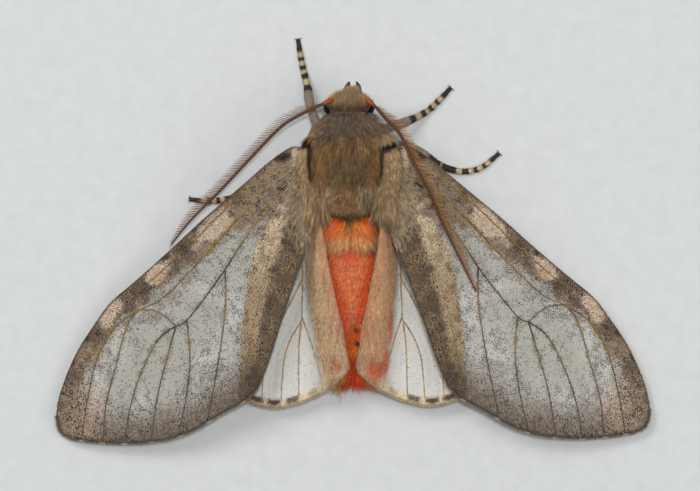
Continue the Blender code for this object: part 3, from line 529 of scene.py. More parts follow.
def coat_tree(scattered):
    """The nodes that set locks on a surface: scattered over its faces, or one at each corner."""
    tree, given = started_tree("coat", "Coat", Surface="Geometry", Lock="Object", Spacing="Float",
                               Width="Float", Untidiness="Float", Shortest="Float", Seed="Int",
                               Finish="Material")
    stored = {name: node(tree, "GeometryNodeInputNamedAttribute", {"Name": name},
                         data_type=kind).outputs["Attribute"]
              for name, kind in (("way", "FLOAT_VECTOR"), ("up", "FLOAT_VECTOR"), ("reach", "FLOAT"),
                                 ("rise", "FLOAT"), ("cover", "FLOAT"), ("unwrap", "FLOAT_VECTOR"),
                                 ("patch", "FLOAT_VECTOR"))}
    shade = node(tree, "FunctionNodeRandomValue", {2: 0.0, 3: 1.0, 8: given["Seed"]},
                 data_type="FLOAT").outputs[1]
    if scattered:
        full = node(tree, "ShaderNodeMath", {0: 1.4, 1: given["Spacing"]}, operation="DIVIDE")
        full = node(tree, "ShaderNodeMath", {0: full.outputs[0], 1: 2.0}, operation="POWER")
        points = node(tree, "GeometryNodeDistributePointsOnFaces",
                      {"Mesh": given["Surface"], "Distance Min": given["Spacing"],
                       "Density Max": full.outputs[0], "Density Factor": stored["cover"],
                       "Seed": given["Seed"]}, distribute_method="POISSON")
        up = points.outputs["Normal"]
    else:
        points = node(tree, "GeometryNodeMeshToPoints", {"Mesh": given["Surface"]})
        up = stored["up"]
    shaded = node(tree, "GeometryNodeStoreNamedAttribute",
                  {"Geometry": points.outputs["Points"], "Name": "shade", "Value": shade},
                  data_type="FLOAT", domain="POINT")
    base = node(tree, "FunctionNodeAxesToRotation", {0: up, 1: stored["way"]},
                primary_axis="Z", secondary_axis="Y")
    turns = {}
    for number, (name, mean) in enumerate((("X", stored["rise"]), ("Y", 0.0), ("Z", 0.0))):
        own_seed = node(tree, "ShaderNodeMath", {0: given["Seed"], 1: 100.0 * (number + 1)})
        swing = node(tree, "FunctionNodeRandomValue",
                     {2: -1.0, 3: 1.0, 8: own_seed.outputs[0]}, data_type="FLOAT").outputs[1]
        turns[name] = node(tree, "ShaderNodeMath", {0: swing, 1: given["Untidiness"], 2: mean},
                           operation="MULTIPLY_ADD").outputs[0]
    tilt = node(tree, "ShaderNodeCombineXYZ", turns)
    tilt = node(tree, "FunctionNodeEulerToRotation", {0: tilt.outputs[0]})
    aim = node(tree, "FunctionNodeRotateRotation", {0: base.outputs[0], 1: tilt.outputs[0]},
               rotation_space="LOCAL")
    size = node(tree, "FunctionNodeRandomValue", {2: given["Shortest"], 3: 1.0, 8: given["Seed"]},
                data_type="FLOAT").outputs[1]
    length = node(tree, "ShaderNodeMath", {0: size, 1: stored["reach"]}, operation="MULTIPLY").outputs[0]
    scale = node(tree, "ShaderNodeCombineXYZ", {"X": given["Width"], "Y": length, "Z": length})
    model = node(tree, "GeometryNodeObjectInfo", {"Object": given["Lock"]})
    placed = node(tree, "GeometryNodeInstanceOnPoints",
                  {"Points": shaded.outputs[0], "Instance": model.outputs["Geometry"],
                   "Rotation": aim.outputs[0], "Scale": scale.outputs[0]})
    real = node(tree, "GeometryNodeRealizeInstances", {"Geometry": placed.outputs[0]})
    middle = node(tree, "ShaderNodeVectorMath", {0: stored["patch"], 1: (0.5, 0.5, 0.0)},
                  operation="SUBTRACT")
    small = node(tree, "ShaderNodeVectorMath", {0: middle.outputs[0], "Scale": PATCH},
                 operation="SCALE")
    spread = node(tree, "ShaderNodeVectorMath", {0: small.outputs[0], 1: stored["unwrap"]},
                  operation="ADD")
    mapped = node(tree, "GeometryNodeStoreNamedAttribute",
                  {"Geometry": real.outputs[0], "Name": "OFBake", "Value": spread.outputs[0]},
                  data_type="FLOAT2", domain="CORNER")
    finished = node(tree, "GeometryNodeSetMaterial",
                    {"Geometry": mapped.outputs[0], "Material": given["Finish"]})
    node(tree, "NodeGroupOutput", {0: finished.outputs[0]})
    return tree


COAT_TREES = {scattered: coat_tree(scattered) for scattered in (True, False)}
PASSING_LAYERS = ("way", "up", "reach", "rise", "cover", "unwrap", "patch")


def grow_coat(name, surface, lock, finish, slot, width, map_place, untidiness, seed, cover=None,
              spacing=0.1, shortest=0.7, **layers):
    """A coat of locks on a surface, as one mesh; layers stand in for the surface's own."""
    source = surface.copy()
    source.data = surface.data.copy()
    bpy.context.scene.collection.objects.link(source)
    grown_on = np.ones(len(source.data.vertices)) if cover is None else cover
    used = map_place[grown_on > 0.05]
    low, high = used.min(0), used.max(0)
    unwrapped = 0.01 + 0.98 * (map_place - low) / np.maximum(high - low, 1e-9)
    set_layers(source, cover=grown_on, unwrap=unwrapped * (1, 1, 0), **layers)
    coat = made_by(COAT_TREES[cover is not None], source, name, PASSING_LAYERS, Lock=lock,
                   Spacing=spacing * MM, Width=width * MM, Untidiness=untidiness,
                   Shortest=shortest, Seed=seed, Finish=finish)
    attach(coat, "root")


# Moth hair: scales drawn out to threads, matt and soft, with a paler, drier tip
hair_finish, tree, shader = new_finish("moth_hair", 0.65, 0.2)
stain, tips = (node(tree, "ShaderNodeAttribute", attribute_name=name).outputs["Color"]
               for name in ("marking", "tipping"))
along, shade, tone, bleached = (node(tree, "ShaderNodeAttribute", attribute_name=name).outputs["Fac"]
                                for name in ("along", "shade", "tone", "bleached"))
own = node(tree, "ShaderNodeMath", {0: shade, 1: tone}, operation="ADD")
own = node(tree, "ShaderNodeMath", {0: own.outputs[0]}, operation="FRACT")
fading = node(tree, "ShaderNodeValToRGB", {"Fac": along}, stops=((0.35, 0.0), (0.85, 1.0)))
dryness = node(tree, "ShaderNodeValToRGB", {"Fac": shade}, stops=((0.5, 0.3), (0.9, 1.0)))
drier = node(tree, "ShaderNodeMath", {0: dryness.outputs["Color"], 1: bleached},
             operation="MAXIMUM")
tipped = node(tree, "ShaderNodeMath", {0: fading.outputs["Color"], 1: drier.outputs[0]},
              operation="MULTIPLY")
blend = node(tree, "ShaderNodeMix", {0: tipped.outputs[0], 6: stain, 7: tips},
             data_type="RGBA")
# Painted shade: each strand darkens towards its root, to about two thirds, as if shaded deep in the coat
depth = node(tree, "ShaderNodeValToRGB", {"Fac": along}, stops=((0.0, 0.65), (0.5, 1.0)))
root_shaded = node(tree, "ShaderNodeMix", {0: 1.0, 6: blend.outputs[2], 7: depth.outputs["Color"]}, **TIMES)
vary = node(tree, "ShaderNodeValToRGB", {"Fac": own.outputs[0]},
            stops=((0.0, 0.78), (0.85, 1.03), (0.97, 1.5)))
varied = node(tree, "ShaderNodeMix", {0: 1.0, 6: root_shaded.outputs[2], 7: vary.outputs["Color"]}, **TIMES)
tree.links.new(varied.outputs[2], shader.inputs["Base Color"])
shader.inputs["Sheen Weight"].default_value = 0.12
shader.inputs["Sheen Roughness"].default_value = 0.4

long_lock = lock_mesh("long_lock", 5, 2, 0.07, 1.05)
short_lock = lock_mesh("short_lock", 3, 2, 0.06, 1.0)
body_coats = (  # name, where, slot, width, spacing, untidiness
    ("back_hair", on_back, "brown_hair", 0.17, 0.085, 0.1),
    ("collar_hair", on_collar, "grey_hair", 0.17, 0.095, 0.08),
    ("shoulder_hair_left", on_shoulder[-1], "brown_hair", 0.17, 0.085, 0.1),
    ("shoulder_hair_right", on_shoulder[1], "brown_hair", 0.17, 0.085, 0.1),
    ("belly_hair", on_belly, "brown_hair", 0.3, 0.19, 0.2),
    ("head_hair", on_head, "brown_hair", 0.16, 0.08, 0.13),
)
for seed, (name, where, slot, width, spacing, untidiness) in enumerate(body_coats):
    grow_coat(name, body, long_lock, hair_finish, slot, width=width, cover=where * (where > 0.3),
              map_place=unwrap, spacing=spacing, untidiness=untidiness, seed=seed)
every = np.ones(len(spots))
for side, name in ((-1, "left"), (1, "right")):
    grow_coat(f"mantle_hair_{name}", body, long_lock, hair_finish, "brown_hair", width=0.16,
              cover=on_thorax * soft(y, 4.2, 3.2) * soft(z, 2.4, 2.9) * soft(side * x, 1.75, 2.1),
              map_place=unwrap, spacing=0.12, untidiness=0.12, shortest=0.6, seed=25,
              way=np.column_stack((-0.12 * side * every, -every, -0.45 * every)),
              reach=2.5 * MM * every, rise=0.1 + 1.15 * soft(-facing[:, 1], 0.3, 0.9),
              marking=plain("#a88862", x), tipping=plain("#d8be94", x))
grow_coat("abdomen_hair", body, short_lock, hair_finish, "orange_hair", width=0.13,
          cover=on_abdomen * soft(y, -9.8, -9.2) * (1 - 0.6 * soft(z, 2.6, 1.8)), map_place=unwrap,
          spacing=0.11, untidiness=0.12, shortest=0.6, seed=20)

# Longer hair at the abdomen's root, in two fans with cream tips, and the tuft at its end, which
# spreads to the sides and is amber at its tips.
rump_way = np.column_stack((0.16 * x + 0.14 * np.sign(x), -every, 0.06 * every))
rump_tint = painted(plain("#fa6a14", x), "#f68c30", soft(np.abs(x), 1.2, 0.3))
rump_tint = painted(rump_tint, "#8a5f38", soft(np.abs(x + 0.1), 0.35, 0.05) * soft(y, 0.9, 1.6))
fan_edge = soft(ay, 1.4, 0.5)           # the hindmost locks, whose tips are cream
grow_coat("rump_hair", body, long_lock, hair_finish, "orange_hair", width=0.2,
          cover=on_abdomen * soft(ay, -0.1, 0.3) * soft(z, 2.2, 2.8), map_place=unwrap,
          untidiness=0.12, seed=21, way=rump_way, reach=1.95 * MM * every, rise=0.12 * every,
          marking=rump_tint, tipping=painted(rump_tint, "#ffecaa", 0.25 + 0.75 * fan_edge),
          bleached=fan_edge)
spread = x - 0.15
amber = soft(np.abs(spread), 0.15, 0.5)
under_wings = soft(np.abs(spread), 0.8, 1.1) * soft(z, 1.3, 1.6)       # bare, clear of the hindwings
tuft_way = np.column_stack((spread * (1.3 + 1.1 * soft(ay, -10.0, -10.5)), -every,
                            -0.3 - 0.5 * soft(z, 1.1, 2.0) - 0.5 * amber))
grow_coat("end_tuft_hair", body, long_lock, hair_finish, "orange_hair", width=0.2,
          cover=on_abdomen * soft(ay, -9.0, -9.5) * (1 - under_wings), map_place=unwrap,
          spacing=0.08, untidiness=0.16, seed=22, way=tuft_way,
          reach=(1.85 + 0.7 * amber * soft(ay, -9.6, -10.3)) * MM, rise=0.1 * every,
          marking=painted(plain("#e44606", x), "#d0842a", 0.9 * amber),
          tipping=painted(plain("#d84a0c", x), "#e4b068", 0.1 + 0.9 * amber), bleached=amber)

# Wings: two pairs of thin membranes stiffened by veins. The glassy fields have few scales and let
# light through; the front edge, the inner band and the roots are covered by small overlapping ones.
FOREWING_OUTLINE = (  # hinge, leading edge, tip, outer edge, hind corner, inner edge: out, forward
    (2.7, 5.0), (3.5, 6.6), (4.25, 7.0), (5.9, 6.05), (8.6, 3.8), (11.35, 1.5), (13.9, -0.8),
    (16.5, -3.05), (18.4, -4.65), (19.6, -6.2), (21.1, -8.5), (22.3, -11.3), (22.72, -13.3),
    (22.35, -14.6), (20.8, -15.15), (17.4, -15.4), (14.3, -15.1), (12.1, -14.35), (10.0, -13.1),
    (8.1, -12.05), (7.2, -11.15), (6.4, -9.2), (5.45, -6.3), (4.35, -3.1), (3.6, -1.2), (3.0, 1.0),
)
FOREWING_LEADING, FOREWING_OUTER = FOREWING_OUTLINE[1:13], FOREWING_OUTLINE[12:21]
FOREWING_INNER = FOREWING_OUTLINE[20:]
FOREWING_VEINS = {
    "subcosta": ((3.9, 6.0), (5.9, 5.2), (9.1, 2.75), (12.6, -0.6), (16.0, -3.6)),
    "radius": ((3.9, 5.3), (5.4, 4.6), (8.2, 2.0), (11.8, -1.8), (14.4, -4.3), (16.2, -5.2)),
    "radius_4": ((16.2, -5.2), (18.0, -6.4), (19.5, -8.8), (20.4, -12.4), (20.8, -15.0)),
    "radius_5": ((16.2, -5.2), (17.2, -6.4), (18.2, -9.8), (18.9, -12.4), (19.2, -15.2)),
    "cubitus": ((3.9, 4.7), (6.4, 2.2), (8.3, -0.2), (9.62, -2.22), (11.2, -4.35), (12.65, -6.1),
                (13.45, -6.5)),
    "cell_end": ((16.2, -5.2), (14.8, -5.4), (13.45, -6.5)),
    "media_2": ((13.5, -6.5), (14.9, -7.6), (16.2, -10.1), (17.1, -12.9), (17.5, -15.3)),
    "media_3": ((13.45, -6.5), (14.1, -8.7), (14.9, -11.7), (15.45, -15.1)),
    "cubitus_1": ((12.6, -6.1), (12.4, -8.6), (12.6, -11.2), (13.3, -14.7)),
    "cubitus_2": ((9.62, -2.22), (9.65, -5.3), (10.25, -9.4), (11.1, -13.6)),
    "anal": ((4.1, 3.6), (5.9, 0.0), (6.9, -4.0), (7.8, -8.0), (8.5, -12.1)),
}
HINDWING_OUTLINE = (  # hinge, inner edge along the abdomen, hind corner, outer edge, leading edge
    (2.9, 3.9), (2.6, 2.7), (2.35, 1.3), (2.15, -0.3), (1.82, -2.1), (1.5, -3.7), (1.15, -5.4),
    (0.82, -6.8), (0.64, -8.2), (0.4, -9.3), (0.42, -9.95), (0.9, -10.4), (1.5, -10.95),
    (2.3, -11.6), (3.5, -12.2), (4.8, -12.6), (6.1, -12.75), (7.5, -12.45), (8.7, -11.85),
    (10.1, -10.8), (11.0, -9.2), (10.8, -7.4), (9.6, -4.4), (7.8, -1.4), (5.8, 1.5), (4.3, 3.3),
)
HINDWING_INNER, HINDWING_OUTER = HINDWING_OUTLINE[1:12], HINDWING_OUTLINE[11:20]
HINDWING_VEINS = {
    "stem": ((3.5, 2.6), (3.75, 0.2), (3.75, -3.0), (3.85, -6.2)),
    "cubitus_1": ((3.85, -6.2), (4.7, -7.6), (5.25, -9.3), (5.5, -12.3)),
    "cubitus_2": ((3.9, -6.5), (4.1, -8.4), (4.15, -12.1)),
    "anal": ((3.8, -6.0), (3.25, -7.6), (2.6, -9.8), (2.3, -11.3)),
    "media_3": ((3.75, -3.0), (5.4, -6.2), (6.6, -9.0), (7.0, -12.3)),
    "media_1": ((3.75, -1.0), (6.2, -3.6), (8.6, -7.0), (9.7, -10.8)),
    "fold": ((3.3, 1.5), (3.4, -2.4), (2.75, -4.9), (2.07, -7.1), (1.48, -9.35)),
}
WING_STEP = 0.17               # size of a membrane's facets
MEMBRANE = 0.06                # its thickness
SAG = 0.1                      # how far it sinks between the veins
SIDES = {"left": -1, "right": 1}


def forewing_height(x, y):
    """Top of the forewing: it falls from the hinge and flattens towards its tip."""
    return 0.9 + 3.8 * (1 - np.clip((x - 4.0) / 18.7, 0, 1)) ** 1.5


def hindwing_height(x, y):
    """Top of the hindwing: its glassy part low, its inner part folded up along the abdomen."""
    flat = 1.6 + 1.8 * np.maximum(0.0, 1 - np.hypot(x - 3.1, y - 3.3) / 7.0) ** 1.5
    half, low, high = abdomen_size(y)
    clear, slack = 0.8, 0.27
    bulge = np.maximum(0.0, 1 - (x / (half + clear + 2 * slack)) ** 2)
    side = (low + high) / 2 + ((high - low) / 2 + clear + slack) * np.sqrt(bulge)
    ease = soft((x - half - 0.1) / 1.35, 0.0, 1.0)
    return np.where(side > flat, side + (flat - side) * ease, flat)


def lengths_along(points):
    """How far along their path each of a row of points lies."""
    return np.r_[0, np.cumsum(np.linalg.norm(np.diff(points, axis=0), axis=1))]


def rows_at(stops, lengths, rows):
    """Rows of numbers at given stops, between those known at their lengths."""
    return np.column_stack([np.interp(stops, lengths, column) for column in rows.T])


SPAN_STEPS = 12                # steps of the smooth curve between two given points


def curve_through(points, spacing, closed=False):
    """Evenly spaced points on a smooth curve through the given ones."""
    knots = np.array(points, float)
    if closed:
        knots = np.vstack((knots[-1:], knots, knots[:2]))
    else:
        knots = np.vstack((2 * knots[0] - knots[1], knots, 2 * knots[-1] - knots[-2]))
    t = np.linspace(0, 1, SPAN_STEPS, endpoint=False)[:, None]
    spans = [0.5 * (2 * b + (c - a) * t + (2 * a - 5 * b + 4 * c - d) * t ** 2
                    + (3 * b - 3 * c + d - a) * t ** 3)
             for a, b, c, d in zip(knots, knots[1:], knots[2:], knots[3:])]
    fine = np.vstack(spans + [knots[-2:-1]])
    lengths = lengths_along(fine)
    stops = np.linspace(0, lengths[-1], max(2, round(lengths[-1] / spacing)) + 1)
    even = rows_at(stops, lengths, fine)
    return even[:-1] if closed else even


def wing_plan(outline):
    """Evenly spaced points over a wing's plan, and the triangles between them."""
    edge = curve_through(outline, WING_STEP, closed=True)
    low, high = edge.min(0), edge.max(0)
    rows = np.arange(low[1], high[1], WING_STEP * 0.87)
    inside = np.array([(x + (k % 2) * WING_STEP / 2, y) for k, y in enumerate(rows)
                       for x in np.arange(low[0], high[0], WING_STEP)])
    inside = inside[from_line(inside, np.vstack((edge, edge[:1]))) > WING_STEP * 0.6]
    ring = list(range(len(edge)))
    corners, _, triangles, *_ = delaunay_2d_cdt(
        [Vector(p) for p in np.vstack((edge, inside))], [(k, (k + 1) % len(ring)) for k in ring],
        [ring], 1, 1e-5)
    used = sorted({k for triangle in triangles for k in triangle})
    renumbered = {old: new for new, old in enumerate(used)}
    return (np.array([tuple(corners[k]) for k in used]),
            [tuple(renumbered[k] for k in triangle) for triangle in triangles])


def membrane(name, plan, triangles, tops, sign, finish):
    """A thin sheet with an upper and a lower face, mirrored for the left side."""
    count = len(plan)
    ups = np.column_stack((plan[:, 0] * sign, plan[:, 1], tops))
    downs = ups - (0, 0, MEMBRANE)
    faces = []
    rim = {}
    for a, b, c in (triangles if sign > 0 else [t[::-1] for t in triangles]):
        faces += [(a, b, c), (a + count, c + count, b + count)]
        for pair in ((a, b), (b, c), (c, a)):
            if pair[::-1] in rim:
                del rim[pair[::-1]]
            else:
                rim[pair] = True
    faces += [(b, a, a + count, b + count) for a, b in rim]
    return mesh_piece(name, np.vstack((ups, downs)), faces, finish)


# Where the forewing's markings lie, in millimetres out and forward of the middle
STRIP_WIDTH = ((6.0, 9.0, 12.0, 15.0, 18.0, 21.0), (3.0, 2.2, 2.0, 1.7, 1.5, 1.3))
BAND_INNER = ((-3.2, -1.0, 1.2, 3.1, 6.3, 9.2, 11.2, 12.1),
              (3.45, 3.3, 3.65, 4.35, 5.45, 6.4, 7.2, 8.1))
BAND_OUTER = ((-5.0, -1.95, -0.35, 1.35, 2.7, 4.2, 6.0, 9.2, 11.3),
              (4.3, 5.7, 6.7, 7.5, 7.8, 8.05, 8.35, 8.55, 8.7))
DARK_PATCHES = (  # out, forward, size
    (12.7, -0.6, 1.15), (13.6, -1.9, 0.8), (15.9, -3.6, 1.2), (17.0, -5.0, 0.7), (19.6, -7.0, 0.9),
    (21.3, -10.2, 0.6), (8.6, 3.3, 0.5), (7.0, 4.5, 0.35), (5.0, 3.9, 0.3), (5.6, 1.9, 0.3),
)
BLACK_NOTCHES = (
    (11.9, 0.95, 0.3), (14.1, -1.25, 0.35), (17.8, -4.15, 0.4), (20.4, -7.4, 0.3),
    (21.5, -9.2, 0.3), (5.0, 4.0, 0.3), (5.3, 3.9, 0.25), (6.2, 2.4, 0.2),
)
CREAM_SPOTS = (  # middle, half length and width, turn in radians
    ((10.5, 1.05), (1.85, 0.85), -0.72),
    ((14.75, -2.35), (1.4, 0.62), -0.8),
    ((18.3, -5.4), (1.35, 0.6), -1.05),
)
FRECKLE_CROWDS = (
    (15.3, -5.2, 1.0), (13.2, -6.3, 1.0), (10.0, -2.7, 0.8), (9.5, -10.5, 1.4), (16.8, -6.4, 0.7),
    (12.5, -12.5, 1.2), (9.1, -7.0, 0.7),
)


def forewing_layers(plan, veins):
    """Markings of a forewing: its tint, how glassy it is, where scales and freckles grow on it,
    and what share of the scales is black."""
    x, y = plan.T
    lead, outer = from_line(plan, FOREWING_LEADING), from_line(plan, FOREWING_OUTER)
    broad, middling, fine = (cloud(plan, size, seed) for size, seed in ((1.8, 3), (0.75, 4), (0.32, 5)))
    ragged = 0.6 * middling + 0.4 * fine - 0.5
    strip = np.interp(x, *STRIP_WIDTH)
    on_strip = soft(lead + 1.1 * ragged, strip + 0.2, strip - 0.2)
    inner_x, band_x = np.interp(-y, *BAND_INNER), np.interp(-y, *BAND_OUTER)
    on_band = soft(x + 0.5 * ragged, band_x + 0.12, band_x - 0.12)
    across = (x - inner_x) / (band_x - inner_x)
    on_root = soft(x - 0.55 * (y - 2.0) + 1.3 * ragged, 8.8, 7.4) * soft(y, -0.5, 0.8)
    rim = soft(outer + 2.2 * ragged, 3.2, 0.2)
    tip = soft(np.hypot(x - 22.3, y + 13.4) + 1.5 * ragged, 4.4, 1.5)
    cluster = soft(0.55 * fine + 0.45 * middling, 0.42, 0.68)

    tint = coated(plain("#aeaaa0", plan), (
        ("#c2bfb7", soft(broad, 0.4, 0.75) * 0.85),
        ("#6e5e4e", rim * 0.95),
        ("#a88d76", tip * 0.85),
        ("#958579", on_root),
        ("#8b7662", on_strip),
        ("#5f5043", np.maximum(on_strip, on_root * 0.7) * soft(fine, 0.45, 0.8) * 0.6),
        ("#a08850", np.maximum(on_strip, on_root) * soft(veins, 0.25, 0.08) * soft(x, 4.4, 6.0) * 0.5),
        ("#a48e70", on_band),
        ("#d0ba9c", on_band * soft(y, -4.2, 0.2) * soft(across, 0.4, 0.75) * 0.8),
        ("#564230", on_band * soft(across + ragged * 0.7, 0.62, 0.25) * 0.9),
    ))
    line_of_specks = soft(np.abs(across - 0.42 + 0.25 * ragged), 0.16, 0.02) * soft(y, 2.6, 1.2)
    tint = coated(tint, (
        ("#3f3126", on_band * line_of_specks * 0.6),
        ("#82694c", on_band * soft(middling, 0.4, 0.8) * 0.75),
        ("#4b3c30", on_band * soft(y + ragged, -8.0, -11.2) * 0.85),
    ))
    dark = np.zeros(len(plan))
    for px, py, size in DARK_PATCHES:
        dark = np.maximum(dark, soft(np.hypot(x - px, y - py) + 1.2 * fine - 0.6, size * 1.1, size * 0.2))
    tint = painted(tint, "#3e3028", dark * (0.45 + 0.55 * fine))
    for px, py, size in BLACK_NOTCHES:
        notch = soft(np.hypot(x - px, y - py) + 0.3 * ragged, size * 1.2, size * 0.5)
        tint = painted(tint, "#1f1814", notch * 0.85)
        dark = np.maximum(dark, notch)
    cream = np.zeros(len(plan))
    for (px, py), (long, wide), turn in CREAM_SPOTS:
        u = (x - px) * math.cos(turn) + (y - py) * math.sin(turn)
        v = -(x - px) * math.sin(turn) + (y - py) * math.cos(turn)
        cream = np.maximum(cream, soft(np.hypot(u / long, v / wide) + 0.9 * ragged, 1.15, 0.75))
    tint = coated(tint, (
        ("#c8b29a", cream * (0.7 + 0.3 * fine)),
        ("#b8854f", cream * soft(np.hypot(x - 14.7, y + 2.9), 0.7, 0.3) * 0.4),
        ("#1c1512", soft(oval(plan, (5.2, 6.25), (0.75, 0.45)) + ragged, 1.1, 0.6)),
        ("#6d4a2c", soft(lead, 0.16, 0.04) * (1 - tip) * 0.6),
        ("#4a3d33", soft(outer, 0.22, 0.05) * 0.8),
    ))
    opaque = np.maximum.reduce([on_strip, on_band, on_root, rim * 0.7, tip * 0.65])
    on_side = soft(y, 3.0, 1.0)            # behind the root, along the inner band
    smudge = np.zeros(len(plan))
    for px, py, size in FRECKLE_CROWDS:
        smudge = np.maximum(smudge, soft(np.hypot(x - px, y - py), size, 0.1))
    freckles = (0.22 + 0.35 * soft(broad, 0.3, 0.8) + 0.85 * soft(outer + 1.5 * ragged, 4.8, 0.4)
                + 0.6 * soft(veins, 0.35, 0.08) + 0.7 * smudge + 0.5 * soft(lead - strip, 2.6, 0.0)
                + 0.5 * soft(np.abs(x - band_x - 0.25), 0.4, 0.1) * on_side)
    freckles = np.clip(freckles * (0.22 + 1.25 * cluster), 0, 1)
    inward = soft(across, 0.75, 0.05)
    black = 0.07 + (0.6 + 0.35 * dark) * cluster * (1 - 0.75 * cream) * (1 - on_band)
    black += on_band * cluster * (0.2 + 0.6 * inward + 0.6 * line_of_specks) + 0.2 * tip * cluster
    black += 0.35 * on_band * soft(across, 0.85, 0.98) * fine
    return (tint, np.clip(1 - opaque, 0, 1), np.clip(opaque, 0, 1),
            freckles * (1 - np.maximum.reduce([on_strip, on_band, on_root])), np.clip(black, 0.02, 1))


FOLD_EDGE = ((-3.0, -0.4, 1.8, 3.9, 5.5, 7.0, 8.3, 10.0, 11.5),
             (3.6, 3.35, 3.5, 3.35, 3.1, 2.85, 2.7, 2.3, 1.9))
EDGE_SPOTS = (  # start and end outwards, how dark
    (2.8, 3.4, 0.35), (4.2, 5.1, 0.9), (5.55, 6.55, 1.0), (6.85, 8.0, 1.0), (8.2, 9.6, 0.7),
)
RED_PATCHES = {  # middle and half sizes, by side
    1: (((2.95, -6.4), (0.2, 1.7)), ((1.9, -9.9), (0.85, 0.8)), ((2.6, -9.2), (0.3, 1.0))),
    -1: (((1.2, -9.55), (0.3, 0.3)),),
}


def hindwing_layers(plan, veins, sign):
    """The same for a hindwing, whose folded inner part is hairy and red in places."""
    x, y = plan.T
    outer = from_line(plan, HINDWING_OUTER)
    fold_x = np.interp(-y, *FOLD_EDGE)
    on_fold = soft(x, fold_x + 0.2, fold_x - 0.25)
    on_root = soft(np.hypot(x - 3.1, y - 3.6), 3.2, 1.8)
    edge = soft(outer, 0.58, 0.42)
    tint = plain("#cfccc5", plan)
    tint = painted(tint, "#cbb997", edge)
    spots = np.zeros(len(plan))
    for start, end, depth in EDGE_SPOTS:
        spots = np.maximum(spots, depth * soft(x, start - 0.1, start + 0.1)
                           * soft(x, end + 0.1, end - 0.1))
    tint = painted(tint, "#4a3c2e", spots * soft(outer, 0.6, 0.45) * soft(outer, 0.06, 0.14))
    tint = painted(tint, "#d8b48c", np.maximum(on_fold, on_root))
    inner = from_line(plan, HINDWING_INNER)
    tint = painted(tint, "#ee9a70", on_fold * soft(inner, 0.9, 0.1) * soft(y, -8.5, -6.5) * 0.35)
    tint = painted(tint, "#bd9468", on_fold * soft(cloud(plan * (1, 0.06), 0.2, 5), 0.5, 0.8) * 0.5)
    if sign > 0:
        tint = painted(tint, "#e0905c", on_fold * 0.3)
    for middle, radii in RED_PATCHES[sign]:
        tint = painted(tint, "#d86040", soft(oval(plan, middle, radii), 1.15, 0.6) * 0.75)
    opaque = np.maximum.reduce([on_fold, on_root, edge])
    cover = edge * (1 - on_fold)
    freckles = (0.012 + 0.12 * soft(veins, 0.2, 0.05)) * (1 - on_fold)
    return tint, 1 - opaque, cover, freckles, np.full(len(plan), 0.06), on_fold


def flake_mesh(name):
    """One wing scale, 1 long and 1 wide: a thin rounded shingle."""
    rim = [(0, 0, 0), (0.5, 0.4, 0), (0.34, 0.95, 0), (-0.34, 0.95, 0), (-0.5, 0.4, 0)]
    corners = rim + [(0, 0.5, 0.12)]
    faces = [(k, (k + 1) % 5, 5) for k in range(5)] + [(4, 3, 2, 1, 0)]
    return model_of(name, corners, faces, False, along=[c[1] for c in corners],
                    patch=[(c[0] + 0.5, c[1], 0) for c in corners])


def rod_tree():
    """The nodes that make round rods of thin lines, as thick as each corner says."""
    tree, given = started_tree("rods", "Rods", Lines="Geometry", Sides="Int", Finish="Material")
    girth = node(tree, "GeometryNodeInputNamedAttribute", {"Name": "girth"}, data_type="FLOAT")
    curves = node(tree, "GeometryNodeMeshToCurve", {"Mesh": given["Lines"]})
    ring = node(tree, "GeometryNodeCurvePrimitiveCircle", {"Resolution": given["Sides"],
                                                           "Radius": 1.0})
    rods = node(tree, "GeometryNodeCurveToMesh",
                {"Curve": curves.outputs[0], "Profile Curve": ring.outputs["Curve"],
                 "Scale": girth.outputs["Attribute"], "Fill Caps": True})
    real = node(tree, "GeometryNodeRealizeInstances", {"Geometry": rods.outputs[0]})
    made = node(tree, "GeometryNodeSetMaterial", {"Geometry": real.outputs[0],
                                                  "Material": given["Finish"]})
    node(tree, "NodeGroupOutput", {0: made.outputs[0]})
    return tree


ROD_TREE = rod_tree()


def rods(name, lines, girths, sides, finish, **layers):
    """Round rods along lines in millimetres, as one mesh; layers hold a value for each point."""
    corners = np.vstack(lines)
    starts = np.cumsum([0] + [len(line) for line in lines])
    edges = [(k, k + 1) for start, end in zip(starts, starts[1:]) for k in range(start, end - 1)]
    mesh = bpy.data.meshes.new(name)
    mesh.from_pydata([tuple(c * MM) for c in corners], edges, [])
    source = bpy.data.objects.new(name, mesh)
    bpy.context.scene.collection.objects.link(source)
    set_layers(source, girth=np.hstack(girths) * MM, **layers)
    return made_by(ROD_TREE, source, name, ("girth",), Sides=sides, Finish=finish)


# Wing membrane: chitin film between the veins, clear and slightly greasy where it has no scales
SPECKS_PER_MM = 9.5            # the finest scales on it, a tenth of a millimetre apart
film_finish, tree, shader = new_finish("membrane_chitin", 0.4, 0.4)
stain = node(tree, "ShaderNodeAttribute", attribute_name="marking").outputs["Color"]
glassy, speckled = (node(tree, "ShaderNodeAttribute", attribute_name=name).outputs["Fac"]
                    for name in ("glassy", "speckled"))
place = node(tree, "ShaderNodeTexCoord").outputs["Object"]
mottle = node(tree, "ShaderNodeTexNoise", {"Vector": place, "Scale": 5 / MM, "Detail": 2.0})
tone = node(tree, "ShaderNodeValToRGB", {"Fac": mottle.outputs["Fac"]},
            stops=((0.3, 0.88), (0.7, 1.05)))
mixed = node(tree, "ShaderNodeMix", {0: 1.0, 6: stain, 7: tone.outputs["Color"]}, **TIMES)
cells = node(tree, "ShaderNodeTexVoronoi", {"Vector": place, "Scale": SPECKS_PER_MM / MM})
odds = node(tree, "ShaderNodeSeparateColor", {"Color": cells.outputs["Color"]})
chosen = node(tree, "ShaderNodeMath", {0: odds.outputs["Red"], 1: speckled}, operation="LESS_THAN")
dot = node(tree, "ShaderNodeMath", {0: cells.outputs["Distance"], 1: 0.34}, operation="LESS_THAN")
speck = node(tree, "ShaderNodeMath", {0: chosen.outputs[0], 1: dot.outputs[0]}, operation="MULTIPLY")
